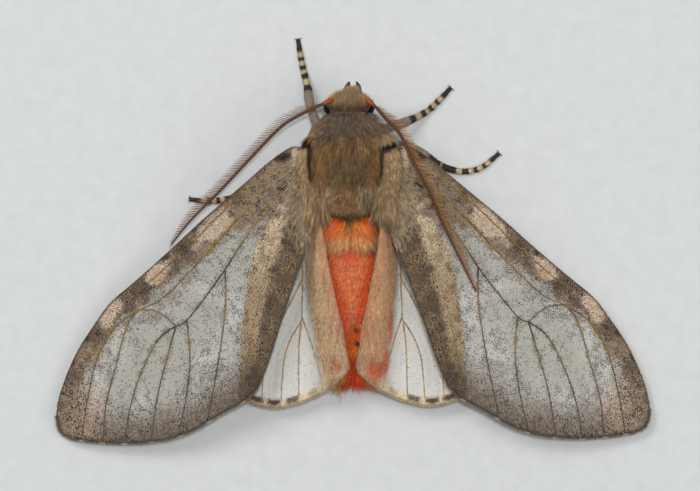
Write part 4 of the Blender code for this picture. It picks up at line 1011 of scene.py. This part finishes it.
specked = node(tree, "ShaderNodeMix", {0: speck.outputs[0], 6: mixed.outputs[2],
                                       7: colour("#3d342c")}, data_type="RGBA")
tree.links.new(specked.outputs[2], shader.inputs["Base Color"])
see = node(tree, "ShaderNodeMapRange", {0: glassy, 1: 0.0, 2: 1.0, 3: 1.0, 4: 0.68})
solid = node(tree, "ShaderNodeMath", {0: see.outputs[0], 1: speck.outputs[0]}, operation="MAXIMUM")
tree.links.new(solid.outputs[0], shader.inputs["Alpha"])
rough = node(tree, "ShaderNodeMapRange", {0: glassy, 1: 0.0, 2: 1.0, 3: 0.65, 4: 0.35})
tree.links.new(rough.outputs[0], shader.inputs["Roughness"])
crinkle = node(tree, "ShaderNodeTexNoise", {"Vector": place, "Scale": 1.5 / MM, "Detail": 3.0})
bump = node(tree, "ShaderNodeBump", {"Height": crinkle.outputs["Fac"], "Strength": 0.25,
                                     "Distance": 0.05 * MM})
tree.links.new(bump.outputs["Normal"], shader.inputs["Normal"])

# Wing scales: chitin shingles a sixth of a millimetre long, matt, brown, buff or black
scale_finish, tree, shader = new_finish("wing_scales", 0.6, 0.3)
stain = node(tree, "ShaderNodeAttribute", attribute_name="marking").outputs["Color"]
freckled, shade = (node(tree, "ShaderNodeAttribute", attribute_name=name).outputs["Fac"]
                   for name in ("freckled", "shade"))
is_black = node(tree, "ShaderNodeMath", {0: shade, 1: freckled}, operation="LESS_THAN")
vary = node(tree, "ShaderNodeValToRGB", {"Fac": shade}, stops=((0.0, 0.8), (0.85, 1.02), (0.96, 1.35)))
varied = node(tree, "ShaderNodeMix", {0: 1.0, 6: stain, 7: vary.outputs["Color"]}, **TIMES)
freckle = node(tree, "ShaderNodeMix", {0: is_black.outputs[0], 6: varied.outputs[2],
                                       7: colour("#33281f")}, data_type="RGBA")
tree.links.new(freckle.outputs[2], shader.inputs["Base Color"])

# Veins: hollow ribs of thicker chitin, ochre where bare and dark where scaled
vein_finish, tree, shader = new_finish("vein_chitin", 0.45, 0.4)
stain = node(tree, "ShaderNodeAttribute", attribute_name="marking").outputs["Color"]
place = node(tree, "ShaderNodeTexCoord").outputs["Object"]
runs = node(tree, "ShaderNodeTexNoise", {"Vector": place, "Scale": 2.2 / MM, "Detail": 2.0})
tone = node(tree, "ShaderNodeValToRGB", {"Fac": runs.outputs["Fac"]},
            stops=((0.4, 0.55), (0.55, 1.05)))
mixed = node(tree, "ShaderNodeMix", {0: 1.0, 6: stain, 7: tone.outputs["Color"]}, **TIMES)
tree.links.new(mixed.outputs[2], shader.inputs["Base Color"])

flake = flake_mesh("wing_scale")
WINGS = {  # outline, veins, height, spacing of the scales
    "forewing": (FOREWING_OUTLINE, FOREWING_VEINS, forewing_height, 0.075),
    "hindwing": (HINDWING_OUTLINE, HINDWING_VEINS, hindwing_height, 0.11),
}
FRINGE_EDGES = {
    "forewing": ((FOREWING_OUTER, 0.32), (FOREWING_INNER, 0.22), (FOREWING_LEADING, 0.1)),
    "hindwing": ((HINDWING_OUTER, 0.34), (HINDWING_INNER, 0.2)),
}
FRINGE_SIDE = {"forewing": 1, "hindwing": -1}      # left or right of the way the edge is listed
PLEAT, PLEAT_WIDTH = 0.05, 0.55        # height and spacing of the folded part's pleats
VEIN_STEP, FRINGE_STEP = 0.25, 0.055
MAIN_VEINS = ("radius", "cubitus", "stem")
MAIN_GIRTH, VEIN_GIRTH, VEIN_END = 0.082, 0.06, 0.036      # half widths of the ribs
DARK_RIBS = ((9.2, -1.6), (12.9, -6.4), (14.2, -7.2))      # where the forewing's veins are dark
for kind, (outline, veins, height, scale_spacing) in WINGS.items():
    plan, triangles = wing_plan(outline)
    vein_lines = [curve_through(points, VEIN_STEP) for points in veins.values()]
    vein_distance = np.minimum.reduce([from_line(plan, line) for line in vein_lines])
    for side, sign in SIDES.items():
        tops = height(*plan.T) - 0.03 - SAG * soft(vein_distance, 0.1, 1.3)
        if kind == "forewing":
            tint, glassy, cover, freckles, black = forewing_layers(plan, vein_distance)
        else:
            tint, glassy, cover, freckles, black, on_fold = hindwing_layers(plan, vein_distance, sign)
            lean = (plan[:, 0] + 0.16 * plan[:, 1]) / PLEAT_WIDTH
            tops = tops + on_fold * PLEAT * np.sin(math.tau * lean)
        name = f"{kind}_{side}"
        sheet = membrane(f"{name}_film", plan, triangles, tops, sign, film_finish)
        specks = freckles if kind == "forewing" else 0.3 * freckles
        doubled = {"marking": np.vstack((tint, tint)), "glassy": np.hstack((glassy, glassy)),
                   "speckled": np.hstack((specks, specks))}
        set_layers(sheet, **doubled)
        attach(sheet, "root")
        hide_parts(name)

        outward = unit(np.column_stack(((plan[:, 0] - 2.5) * sign, plan[:, 1] - 6.0, 0 * plan[:, 0])))
        upper = mesh_piece(f"{name}_top", np.column_stack((plan[:, 0] * sign, plan[:, 1], tops)),
                           triangles if sign > 0 else [t[::-1] for t in triangles])
        every = np.ones(len(plan))
        set_layers(upper, marking=tint, freckled=black, way=outward, reach=0.15 * MM * every,
                   rise=0.12 * every, tipping=painted(tint, "#d8c4a4", 0.35 * every))
        flat_map = np.column_stack((plan, 0 * every))
        grow_coat(f"{name}_scales", upper, flake, scale_finish, f"{kind}_scale", width=0.085,
                  cover=cover, map_place=flat_map, spacing=scale_spacing, untidiness=0.2,
                  seed=30 + sign)
        grow_coat(f"{name}_freckles", upper, flake, scale_finish, f"{kind}_scale", width=0.06,
                  cover=freckles, map_place=flat_map, spacing=0.065, untidiness=0.3, shortest=0.6,
                  seed=40 + sign, reach=0.095 * MM * every, marking=plain("#7a6c60", plan),
                  freckled=0.65 * every)
        if kind == "hindwing":
            hairy = np.maximum(on_fold, soft(np.hypot(plan[:, 0] - 3.1, plan[:, 1] - 3.6), 3.2, 2))
            grow_coat(f"{name}_hair", upper, short_lock, hair_finish, "hindwing_scale", width=0.11,
                      cover=hairy, map_place=flat_map, untidiness=0.1, shortest=0.6,
                      seed=50 + sign, reach=0.6 * MM * every, rise=0.05 * every,
                      way=np.tile((-0.12 * sign, -1.0, 0.0), (len(plan), 1)))
        else:
            root = soft(np.hypot(plan[:, 0] - 2.9, (plan[:, 1] - 2.6) * 0.55), 2.3, 1.0)
            grow_coat(f"{name}_hair", upper, short_lock, hair_finish, "forewing_scale", width=0.14,
                      cover=root, map_place=flat_map, untidiness=0.12, shortest=0.6,
                      seed=50 + sign, reach=1.0 * MM * every,
                      marking=painted(tint, "#c0a986", 0.85 * every))
        bpy.data.objects.remove(upper)

        sunk = 0.07 if kind == "forewing" else 0.0         # under the scales near the root
        lines = [np.column_stack((line[:, 0] * sign, line[:, 1],
                                  height(*line.T) - sunk * soft(line[:, 0], 9.0, 6.0)))
                 for line in vein_lines]
        girths = [np.linspace(MAIN_GIRTH if key in MAIN_VEINS else VEIN_GIRTH, VEIN_END, len(line))
                  for key, line in zip(veins, lines)]
        along = np.vstack(lines) * (sign, 1, 1)
        if kind == "forewing":
            from_edge, from_dark = (from_line(along[:, :2], line) for line in (FOREWING_OUTER, DARK_RIBS))
            rib_tint = coated(plain("#7c5e30", along), (
                ("#564028", soft(from_edge, 6.0, 3.0)),
                ("#463322", soft(from_dark, 0.9, 0.3) * 0.9),
                ("#8a7656", soft(along[:, 0], 9.0, 7.0) * 0.8),
            ))
        else:
            rib_tint = plain("#b0925e", along)
        ribs = rods(f"{name}_veins", lines, girths, 6, vein_finish, marking=rib_tint)
        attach(ribs, "root")

        spots, ways, lengths = [], [], []
        for edge, length in FRINGE_EDGES[kind]:
            line = curve_through(edge, FRINGE_STEP)
            ahead = np.gradient(line, axis=0)
            spots.append(line)
            ways.append(unit(np.column_stack((-ahead[:, 1], ahead[:, 0])) * FRINGE_SIDE[kind]))
            lengths.append(np.full(len(line), length))
        spots, ways, lengths = np.vstack(spots), np.vstack(ways), np.hstack(lengths)
        vein_ends = np.array([line[-1] for line in vein_lines])
        at_end = np.min(np.linalg.norm(spots[:, None] - vein_ends[None], axis=2), axis=1)
        shade = painted(plain("#66564a" if kind == "forewing" else "#bfa27c", spots), "#c9b493",
                        soft(at_end, 0.35, 0.15) * 0.8)
        hem = mesh_piece(f"{name}_hem", np.column_stack((spots[:, 0] * sign, spots[:, 1],
                                                         height(*spots.T) - 0.05)), [])
        set_layers(hem, marking=shade, tipping=painted(shade, "#cbb594", np.full(len(spots), 0.35)),
                   way=np.column_stack((ways[:, 0] * sign, ways[:, 1], 0 * ways[:, 0])),
                   up=np.tile((0, 0, 1.0), (len(spots), 1)), reach=lengths * MM,
                   rise=np.full(len(spots), -0.05))
        grow_coat(f"{name}_fringe", hem, short_lock, hair_finish, f"{kind}_scale", width=0.1,
                  map_place=np.column_stack((spots, 0 * lengths)), untidiness=0.2,
                  shortest=0.6, seed=70 + sign)
        bpy.data.objects.remove(hem)

# Feelers: horny shafts in rings, each with two rows of fine branches that make a comb; the branches
# carry short sense hairs. The first joint is orange, the shaft brown.
FEELERS = {
    "left": ((-1.25, 10.6, 4.55), (-2.4, 10.05, 4.9), (-3.8, 9.4, 5.0), (-5.3, 8.45, 4.9),
             (-7.6, 6.15, 4.6), (-9.9, 3.75, 4.3), (-12.2, 1.5, 3.8), (-13.7, -0.3, 3.3)),
    "right": ((1.15, 10.6, 4.55), (1.9, 10.0, 4.95), (2.75, 9.0, 5.4), (3.75, 7.85, 6.1),
              (4.65, 5.9, 6.5), (5.9, 3.5, 6.3), (7.1, 0.7, 5.6), (9.4, -4.1, 4.4)),
}
SHAFT = ((0.0, 0.13), (0.3, 0.18), (0.75, 0.17), (0.95, 0.12), (2.0, 0.13), (12.0, 0.1), (17.0, 0.05))
SHAFT_STEP, SHAFT_RING = 0.085, 0.34           # facets of the shaft, and its rings
BRANCH_STEP, BRANCH_LENGTH, FIRST_BRANCH, BARE_TIP = 0.17, 1.05, 1.15, 0.2
# how far each row of branches reaches out and up
BRANCH_ROWS = {"left": ((1.0, 0.12), (0.25, -1.0)), "right": ((1.0, 0.1), (-0.5, -0.75))}
BRANCH_SWEEP = 0.85                            # how far a branch leans towards the tip
# width, root tint and tip tint of each comb; the left comb's paler, greyer tints are painted highlight
COMB_TINTS_AND_HIGHLIGHT = {"left": (0.9, "#7c5238", "#ab8668"), "right": (1.25, "#8a5a24", "#c08c40")}


def branch_mesh(name, hairs):
    """One branch, 1 long, with its width in millimetres: a thin rod with short hairs each side."""
    corners, faces, along, patch = [], [], [], []
    spikes = [(0.0, 0.0, 1.0, 0.04)]       # start along the branch, sideways reach, length, half width
    for number in range(hairs):
        start = 0.1 + 0.8 * number / hairs
        spikes += [(start, side, 0.1, 0.006) for side in (-0.07, 0.07)]
    for start, side, length, half in spikes:
        first = len(corners)
        for t, width in ((0.0, half), (0.6, half * 0.8)):
            over, up = side * t, start + length * t
            corners += [(over - width, up, 0), (over + width, up, 0), (over, up, width * 1.4)]
        corners.append((side, start + length, 0))
        faces += spike_faces(first, 2)
        along += [start + length * t for t in (0, 0, 0, 0.6, 0.6, 0.6, 1.0)]
        patch += [(0.5 + c[0], c[1], 0.0) for c in corners[first:]]
    return model_of(name, corners, faces, False, along=along, patch=patch, tone=np.zeros(len(along)))


def grainy_chitin(name, roughness, specular, grain_size, strength):
    """Chitin in its piece's own markings, with a fine grain of a size in millimetres."""
    made, tree, shader = new_finish(name, roughness, specular)
    stain = node(tree, "ShaderNodeAttribute", attribute_name="marking").outputs["Color"]
    tree.links.new(stain, shader.inputs["Base Color"])
    place = node(tree, "ShaderNodeTexCoord").outputs["Object"]
    grain = node(tree, "ShaderNodeTexNoise", {"Vector": place, "Scale": 1 / (grain_size * MM)})
    bump = node(tree, "ShaderNodeBump", {"Height": grain.outputs["Fac"], "Strength": strength,
                                         "Distance": 0.02 * MM})
    tree.links.new(bump.outputs["Normal"], shader.inputs["Normal"])
    return made


# Feeler shaft: chitin, smooth and slightly glossy, orange at its first joint and brown beyond
shaft_finish = grainy_chitin("feeler_chitin", 0.5, 0.2, 1 / 6, 0.4)

branch = branch_mesh("feeler_branch", 3)
for side, points in FEELERS.items():
    sign = SIDES[side]
    path = curve_through(points, SHAFT_STEP)
    run = lengths_along(path)
    girth = np.interp(run, *np.array(SHAFT).T) * (1 + 0.04 * np.cos(math.tau * run / SHAFT_RING))
    tint = plain("#3a2415", path)
    tint = painted(tint, "#5c381f", 0.5 + 0.5 * np.cos(math.tau * run / SHAFT_RING))
    tint = painted(tint, "#85451a", soft(run, 0.95, 0.8))
    shaft = rods(f"feeler_{side}_shaft", [path], [girth], 10, shaft_finish, marking=tint)
    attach(shaft, "root")
    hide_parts(f"feeler_{side}")

    chosen = np.arange(FIRST_BRANCH, run[-1] - BARE_TIP, BRANCH_STEP)
    roots = rows_at(chosen, run, path)
    ahead = unit(rows_at(chosen, run, np.gradient(path, axis=0)))
    out = unit(np.column_stack((-ahead[:, 1], ahead[:, 0], 0 * chosen)) * sign)
    length = BRANCH_LENGTH * np.minimum(1.0, 0.25 + (run[-1] - chosen) / 5.0)
    length *= np.minimum(1.0, 0.5 + (chosen - FIRST_BRANCH) / 2.0)
    ways = unit(np.vstack([out * o + (0, 0, u) + ahead * BRANCH_SWEEP for o, u in BRANCH_ROWS[side]]))
    width, low, pale = COMB_TINTS_AND_HIGHLIGHT[side]
    comb = mesh_piece(f"feeler_{side}_roots", np.vstack((roots, roots)), [])
    set_layers(comb, way=ways, up=np.vstack((np.cross(ahead, out), out)), rise=np.zeros(len(ways)),
               reach=np.hstack((length, length)) * MM, marking=plain(low, ways),
               tipping=plain(pale, ways))
    rows = np.repeat((0.0, 1.0), len(chosen))
    grow_coat(f"feeler_{side}_comb", comb, branch, hair_finish, "feeler_brown", width=width,
              map_place=np.column_stack((np.hstack((chosen, chosen)), rows, rows)),
              untidiness=0.025, shortest=0.96, seed=80 + sign)
    bpy.data.objects.remove(comb)

# Legs: six, jointed, clad in short scales in dark and pale bands, with two hooked claws at the end
# of each foot and a pair of spurs at the end of each longer shin.
LEGS = {
    "foreleg_left": ((-1.85, 7.6, 1.75), (-2.4, 8.6, 1.9), (-2.9, 9.8, 1.85), (-3.1, 10.8, 1.3),
                     (-3.22, 11.7, 0.7), (-3.5, 12.9, 0.2), (-3.75, 14.2, 0.17), (-3.9, 15.35, 0.1)),
    "foreleg_right": ((1.75, 7.6, 1.75), (2.4, 8.2, 1.9), (3.25, 8.55, 1.85), (4.1, 8.85, 1.3),
                      (4.97, 9.22, 0.7), (5.95, 9.75, 0.2), (6.9, 10.6, 0.17), (7.75, 11.5, 0.1)),
    "midleg_left": ((-2.35, 5.6, 1.55), (-3.7, 5.7, 1.9), (-5.3, 5.4, 1.85), (-6.9, 4.5, 1.3),
                    (-8.5, 3.55, 0.6), (-9.6, 3.15, 0.2), (-11.0, 3.05, 0.17), (-12.35, 3.18, 0.1)),
    "midleg_right": ((2.15, 5.8, 1.55), (2.9, 6.6, 1.9), (4.0, 7.15, 1.85), (5.4, 6.55, 1.3),
                     (6.8, 5.62, 0.6), (8.4, 5.1, 0.2), (10.0, 5.35, 0.17), (11.4, 6.42, 0.1)),
    "hindleg_left": ((-2.1, 3.6, 1.5), (-3.3, 2.9, 1.4), (-4.6, 1.8, 1.2), (-6.0, -0.8, 0.75),
                     (-7.1, -3.4, 0.45), (-7.6, -4.9, 0.2), (-8.0, -6.3, 0.17), (-8.45, -7.75, 0.1)),
    "hindleg_right": ((1.95, 3.6, 1.5), (3.2, 2.9, 1.4), (4.5, 1.8, 1.2), (5.9, -0.8, 0.75),
                      (7.0, -3.4, 0.45), (7.5, -4.9, 0.2), (7.9, -6.3, 0.17), (8.35, -7.75, 0.1)),
}
LEG_STEP, FOOT_RING = 0.09, 0.68
HIP_Z = 2.9                    # each leg starts at a hip this high inside the thorax
LEG_GIRTHS = (0.3, 0.28, 0.36, 0.3, 0.34, 0.26, 0.22, 0.2, 0.14)    # half width at hip and points
DARK_BANDS = {  # from a foot's tip, in millimetres
    "foreleg": ((-1, 1.0), (1.36, 1.68), (2.03, 2.43), (2.73, 3.24), (3.78, 4.4)),
    "midleg": ((-1, 0.92), (1.33, 1.64), (2.04, 2.37), (2.75, 3.28), (3.74, 5.0), (5.15, 6.4)),
    "hindleg": ((-1, 0.92), (1.33, 1.64), (2.04, 2.37), (2.75, 3.28), (3.74, 5.0), (5.15, 6.4)),
}


def layer_of(piece, name, width):
    """A layer of a piece's corners as rows of numbers."""
    slot = {1: "value", 3: "vector", 4: "color"}[width]
    values = np.empty(len(piece.data.vertices) * width, np.float32)
    piece.data.attributes[name].data.foreach_get(slot, values)
    return values.reshape(-1, width).astype(float)


# Leg skin: chitin tube, ringed and matt, tinted like the scales that it carries
leg_skin = grainy_chitin("leg_chitin", 0.55, 0.3, 1 / 9, 0.5)

# Claws and spurs: solid hardened chitin, dark brown and glossy
claw_finish, tree, shader = new_finish("claw_chitin", 0.3, 0.5)
shader.inputs["Base Color"].default_value = colour("#2a1a12")

for leg, points in LEGS.items():
    kind = leg.split("_")[0]
    hip_x, hip_y, _ = points[0]
    points = ((hip_x * 0.75, hip_y - 0.15, HIP_Z),) + points
    fine = curve_through(points, LEG_STEP)
    run = lengths_along(fine)
    knots = [run[np.argmin(np.linalg.norm(fine - np.array(p), axis=1))] for p in points]
    girth = np.interp(run, knots, LEG_GIRTHS)
    left = run[-1] - run
    girth *= 1 + 0.07 * np.cos(math.tau * left / FOOT_RING) * soft(left, 4.0, 3.4)
    dark = np.zeros(len(run))
    for start, end in DARK_BANDS[kind]:
        dark = np.maximum(dark, soft(left, start - 0.05, start + 0.05) * soft(left, end + 0.05, end - 0.05))
    tint = plain("#c4ad88", run)
    tint = painted(tint, "#8f8270", soft(left, 3.3, 4.6 if kind == "foreleg" else 6.2))
    tint = painted(tint, "#2a2119", dark * soft(left, 8.0, 6.0))
    ahead = unit(np.gradient(fine, axis=0))
    limb = rods(f"{leg}_skin", [fine], [girth], 12, leg_skin,
                marking=tint, tipping=tint, way=ahead, run=run)
    facing, ways = normals_of(limb), layer_of(limb, "way", 3)
    side = np.cross(ways, (0, 0, 1.0))
    turn = np.arctan2((facing * side).sum(1), facing[:, 2])
    unrolled = np.column_stack((layer_of(limb, "run", 1)[:, 0], turn * 0.3, 0 * turn))
    set_layers(limb, reach=np.full(len(turn), 0.22 * MM), rise=np.full(len(turn), 0.3))
    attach(limb, "root")
    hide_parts(*[f"{leg}_{part}" for part in ("thigh", "shin", "foot")])
    grow_coat(f"{leg}_scales", limb, short_lock, hair_finish, "leg_scale", width=0.1,
              cover=np.ones(len(turn)), map_place=unrolled, spacing=0.09 if kind == "foreleg" else 0.11,
              untidiness=0.2, shortest=0.6, seed=90)

    tip, heading = fine[-1], ahead[-1] * (1, 1, 0)
    across = np.array((-heading[1], heading[0], 0))
    hooks, hook_girths = [], []
    for turned in (-1, 1):
        bends = (tip - 0.1 * heading, tip + 0.06 * heading + 0.1 * turned * across + (0, 0, 0.03),
                 tip + 0.08 * heading + 0.22 * turned * across + (0, 0, 0.0),
                 tip + 0.02 * heading + 0.32 * turned * across - (0, 0, 0.06))
        hooks.append(curve_through(bends, 0.05))
        hook_girths.append(np.linspace(0.05, 0.012, len(hooks[-1])))
    if kind != "foreleg":
        joint = np.argmin(np.abs(run - knots[5]))
        beside = np.array((-ahead[joint][1], ahead[joint][0], 0))
        for turned in (-1, 1):
            start = fine[joint] + 0.1 * turned * beside - (0, 0, 0.1)
            hooks.append(curve_through((start, start + 0.25 * ahead[joint] + 0.12 * turned * beside,
                                        start + 0.5 * ahead[joint] + 0.16 * turned * beside), 0.1))
            hook_girths.append(np.linspace(0.06, 0.01, len(hooks[-1])))
    claws = rods(f"{leg}_claws", hooks, hook_girths, 6, claw_finish)
    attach(claws, "root")

# Eyes: two black domes of tiny facets, set into the sides of the head under the hair.
EYES = {"left": (-1.33, 10.05, 3.25), "right": (1.23, 10.05, 3.25)}
EYE_RADIUS = 0.7

# Eye lenses: clear chitin over black pigment, domed and glossy, so they mirror the lamps. The
# facets are a fiftieth of a millimetre in life and are drawn twice as wide, so that they show.
eye_finish, tree, shader = new_finish("eye_lenses", 0.22, 0.12)
shader.inputs["Base Color"].default_value = colour("#0d0b0b")
place = node(tree, "ShaderNodeTexCoord").outputs["Object"]
facets = node(tree, "ShaderNodeTexVoronoi", {"Vector": place, "Scale": 26 / MM})
bump = node(tree, "ShaderNodeBump", {"Height": facets.outputs["Distance"], "Strength": 0.25,
                                     "Distance": 0.01 * MM})
tree.links.new(bump.outputs["Normal"], shader.inputs["Normal"])
for side, middle in EYES.items():
    eye_work = bmesh.new()
    middle = Matrix.Translation(Vector(middle) * MM)
    bmesh.ops.create_icosphere(eye_work, subdivisions=4, radius=EYE_RADIUS * MM, matrix=middle)
    eye_mesh = bpy.data.meshes.new(f"eye_{side}_dome")
    eye_work.to_mesh(eye_mesh)
    eye_work.free()
    eye_mesh.materials.append(eye_finish)
    eye_mesh.shade_smooth()
    eye = bpy.data.objects.new(f"eye_{side}_dome", eye_mesh)
    bpy.context.scene.collection.objects.link(eye)
    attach(eye, "root")
    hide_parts(f"eye_{side}")

# Palps: a pair of short hairy feelers under the face that bend up in front of it.
PALPS = {
    "left": ((-0.53, 10.75, 1.7), (-0.3, 11.35, 2.2), (0.0, 11.92, 3.2)),
    "right": ((0.43, 10.75, 1.7), (0.72, 11.3, 2.2), (0.55, 11.92, 3.2)),
}
PALP_GIRTHS = ((0, 0.4, 0.8, 1), (0.16, 0.18, 0.13, 0.02))     # half widths at shares of its length
for side, points in PALPS.items():
    fine = curve_through(points, 0.08)
    share = np.linspace(0, 1, len(fine))
    tint = plain("#8f7a5c", fine)
    tint = painted(tint, "#1c1410", soft(share, 0.4, 0.7) * (1.0 if side == "right" else 0.8))
    ahead = unit(np.gradient(fine, axis=0))
    palp = rods(f"palp_{side}_skin", [fine], [np.interp(share, *PALP_GIRTHS)], 10,
                leg_skin, marking=tint, tipping=tint, way=ahead, run=share)
    facing = normals_of(palp)
    unrolled = np.column_stack((layer_of(palp, "run", 1)[:, 0],
                                np.arctan2(facing[:, 0], facing[:, 1] - facing[:, 2]) * 0.1,
                                0 * facing[:, 0]))
    set_layers(palp, reach=np.full(len(facing), 0.28 * MM), rise=np.full(len(facing), 0.12))
    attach(palp, "root")
    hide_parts(f"palp_{side}")
    grow_coat(f"palp_{side}_hair", palp, short_lock, hair_finish, "brown_hair", width=0.1,
              cover=np.ones(len(facing)), map_place=unrolled, spacing=0.08, untidiness=0.2,
              shortest=0.6, seed=95)
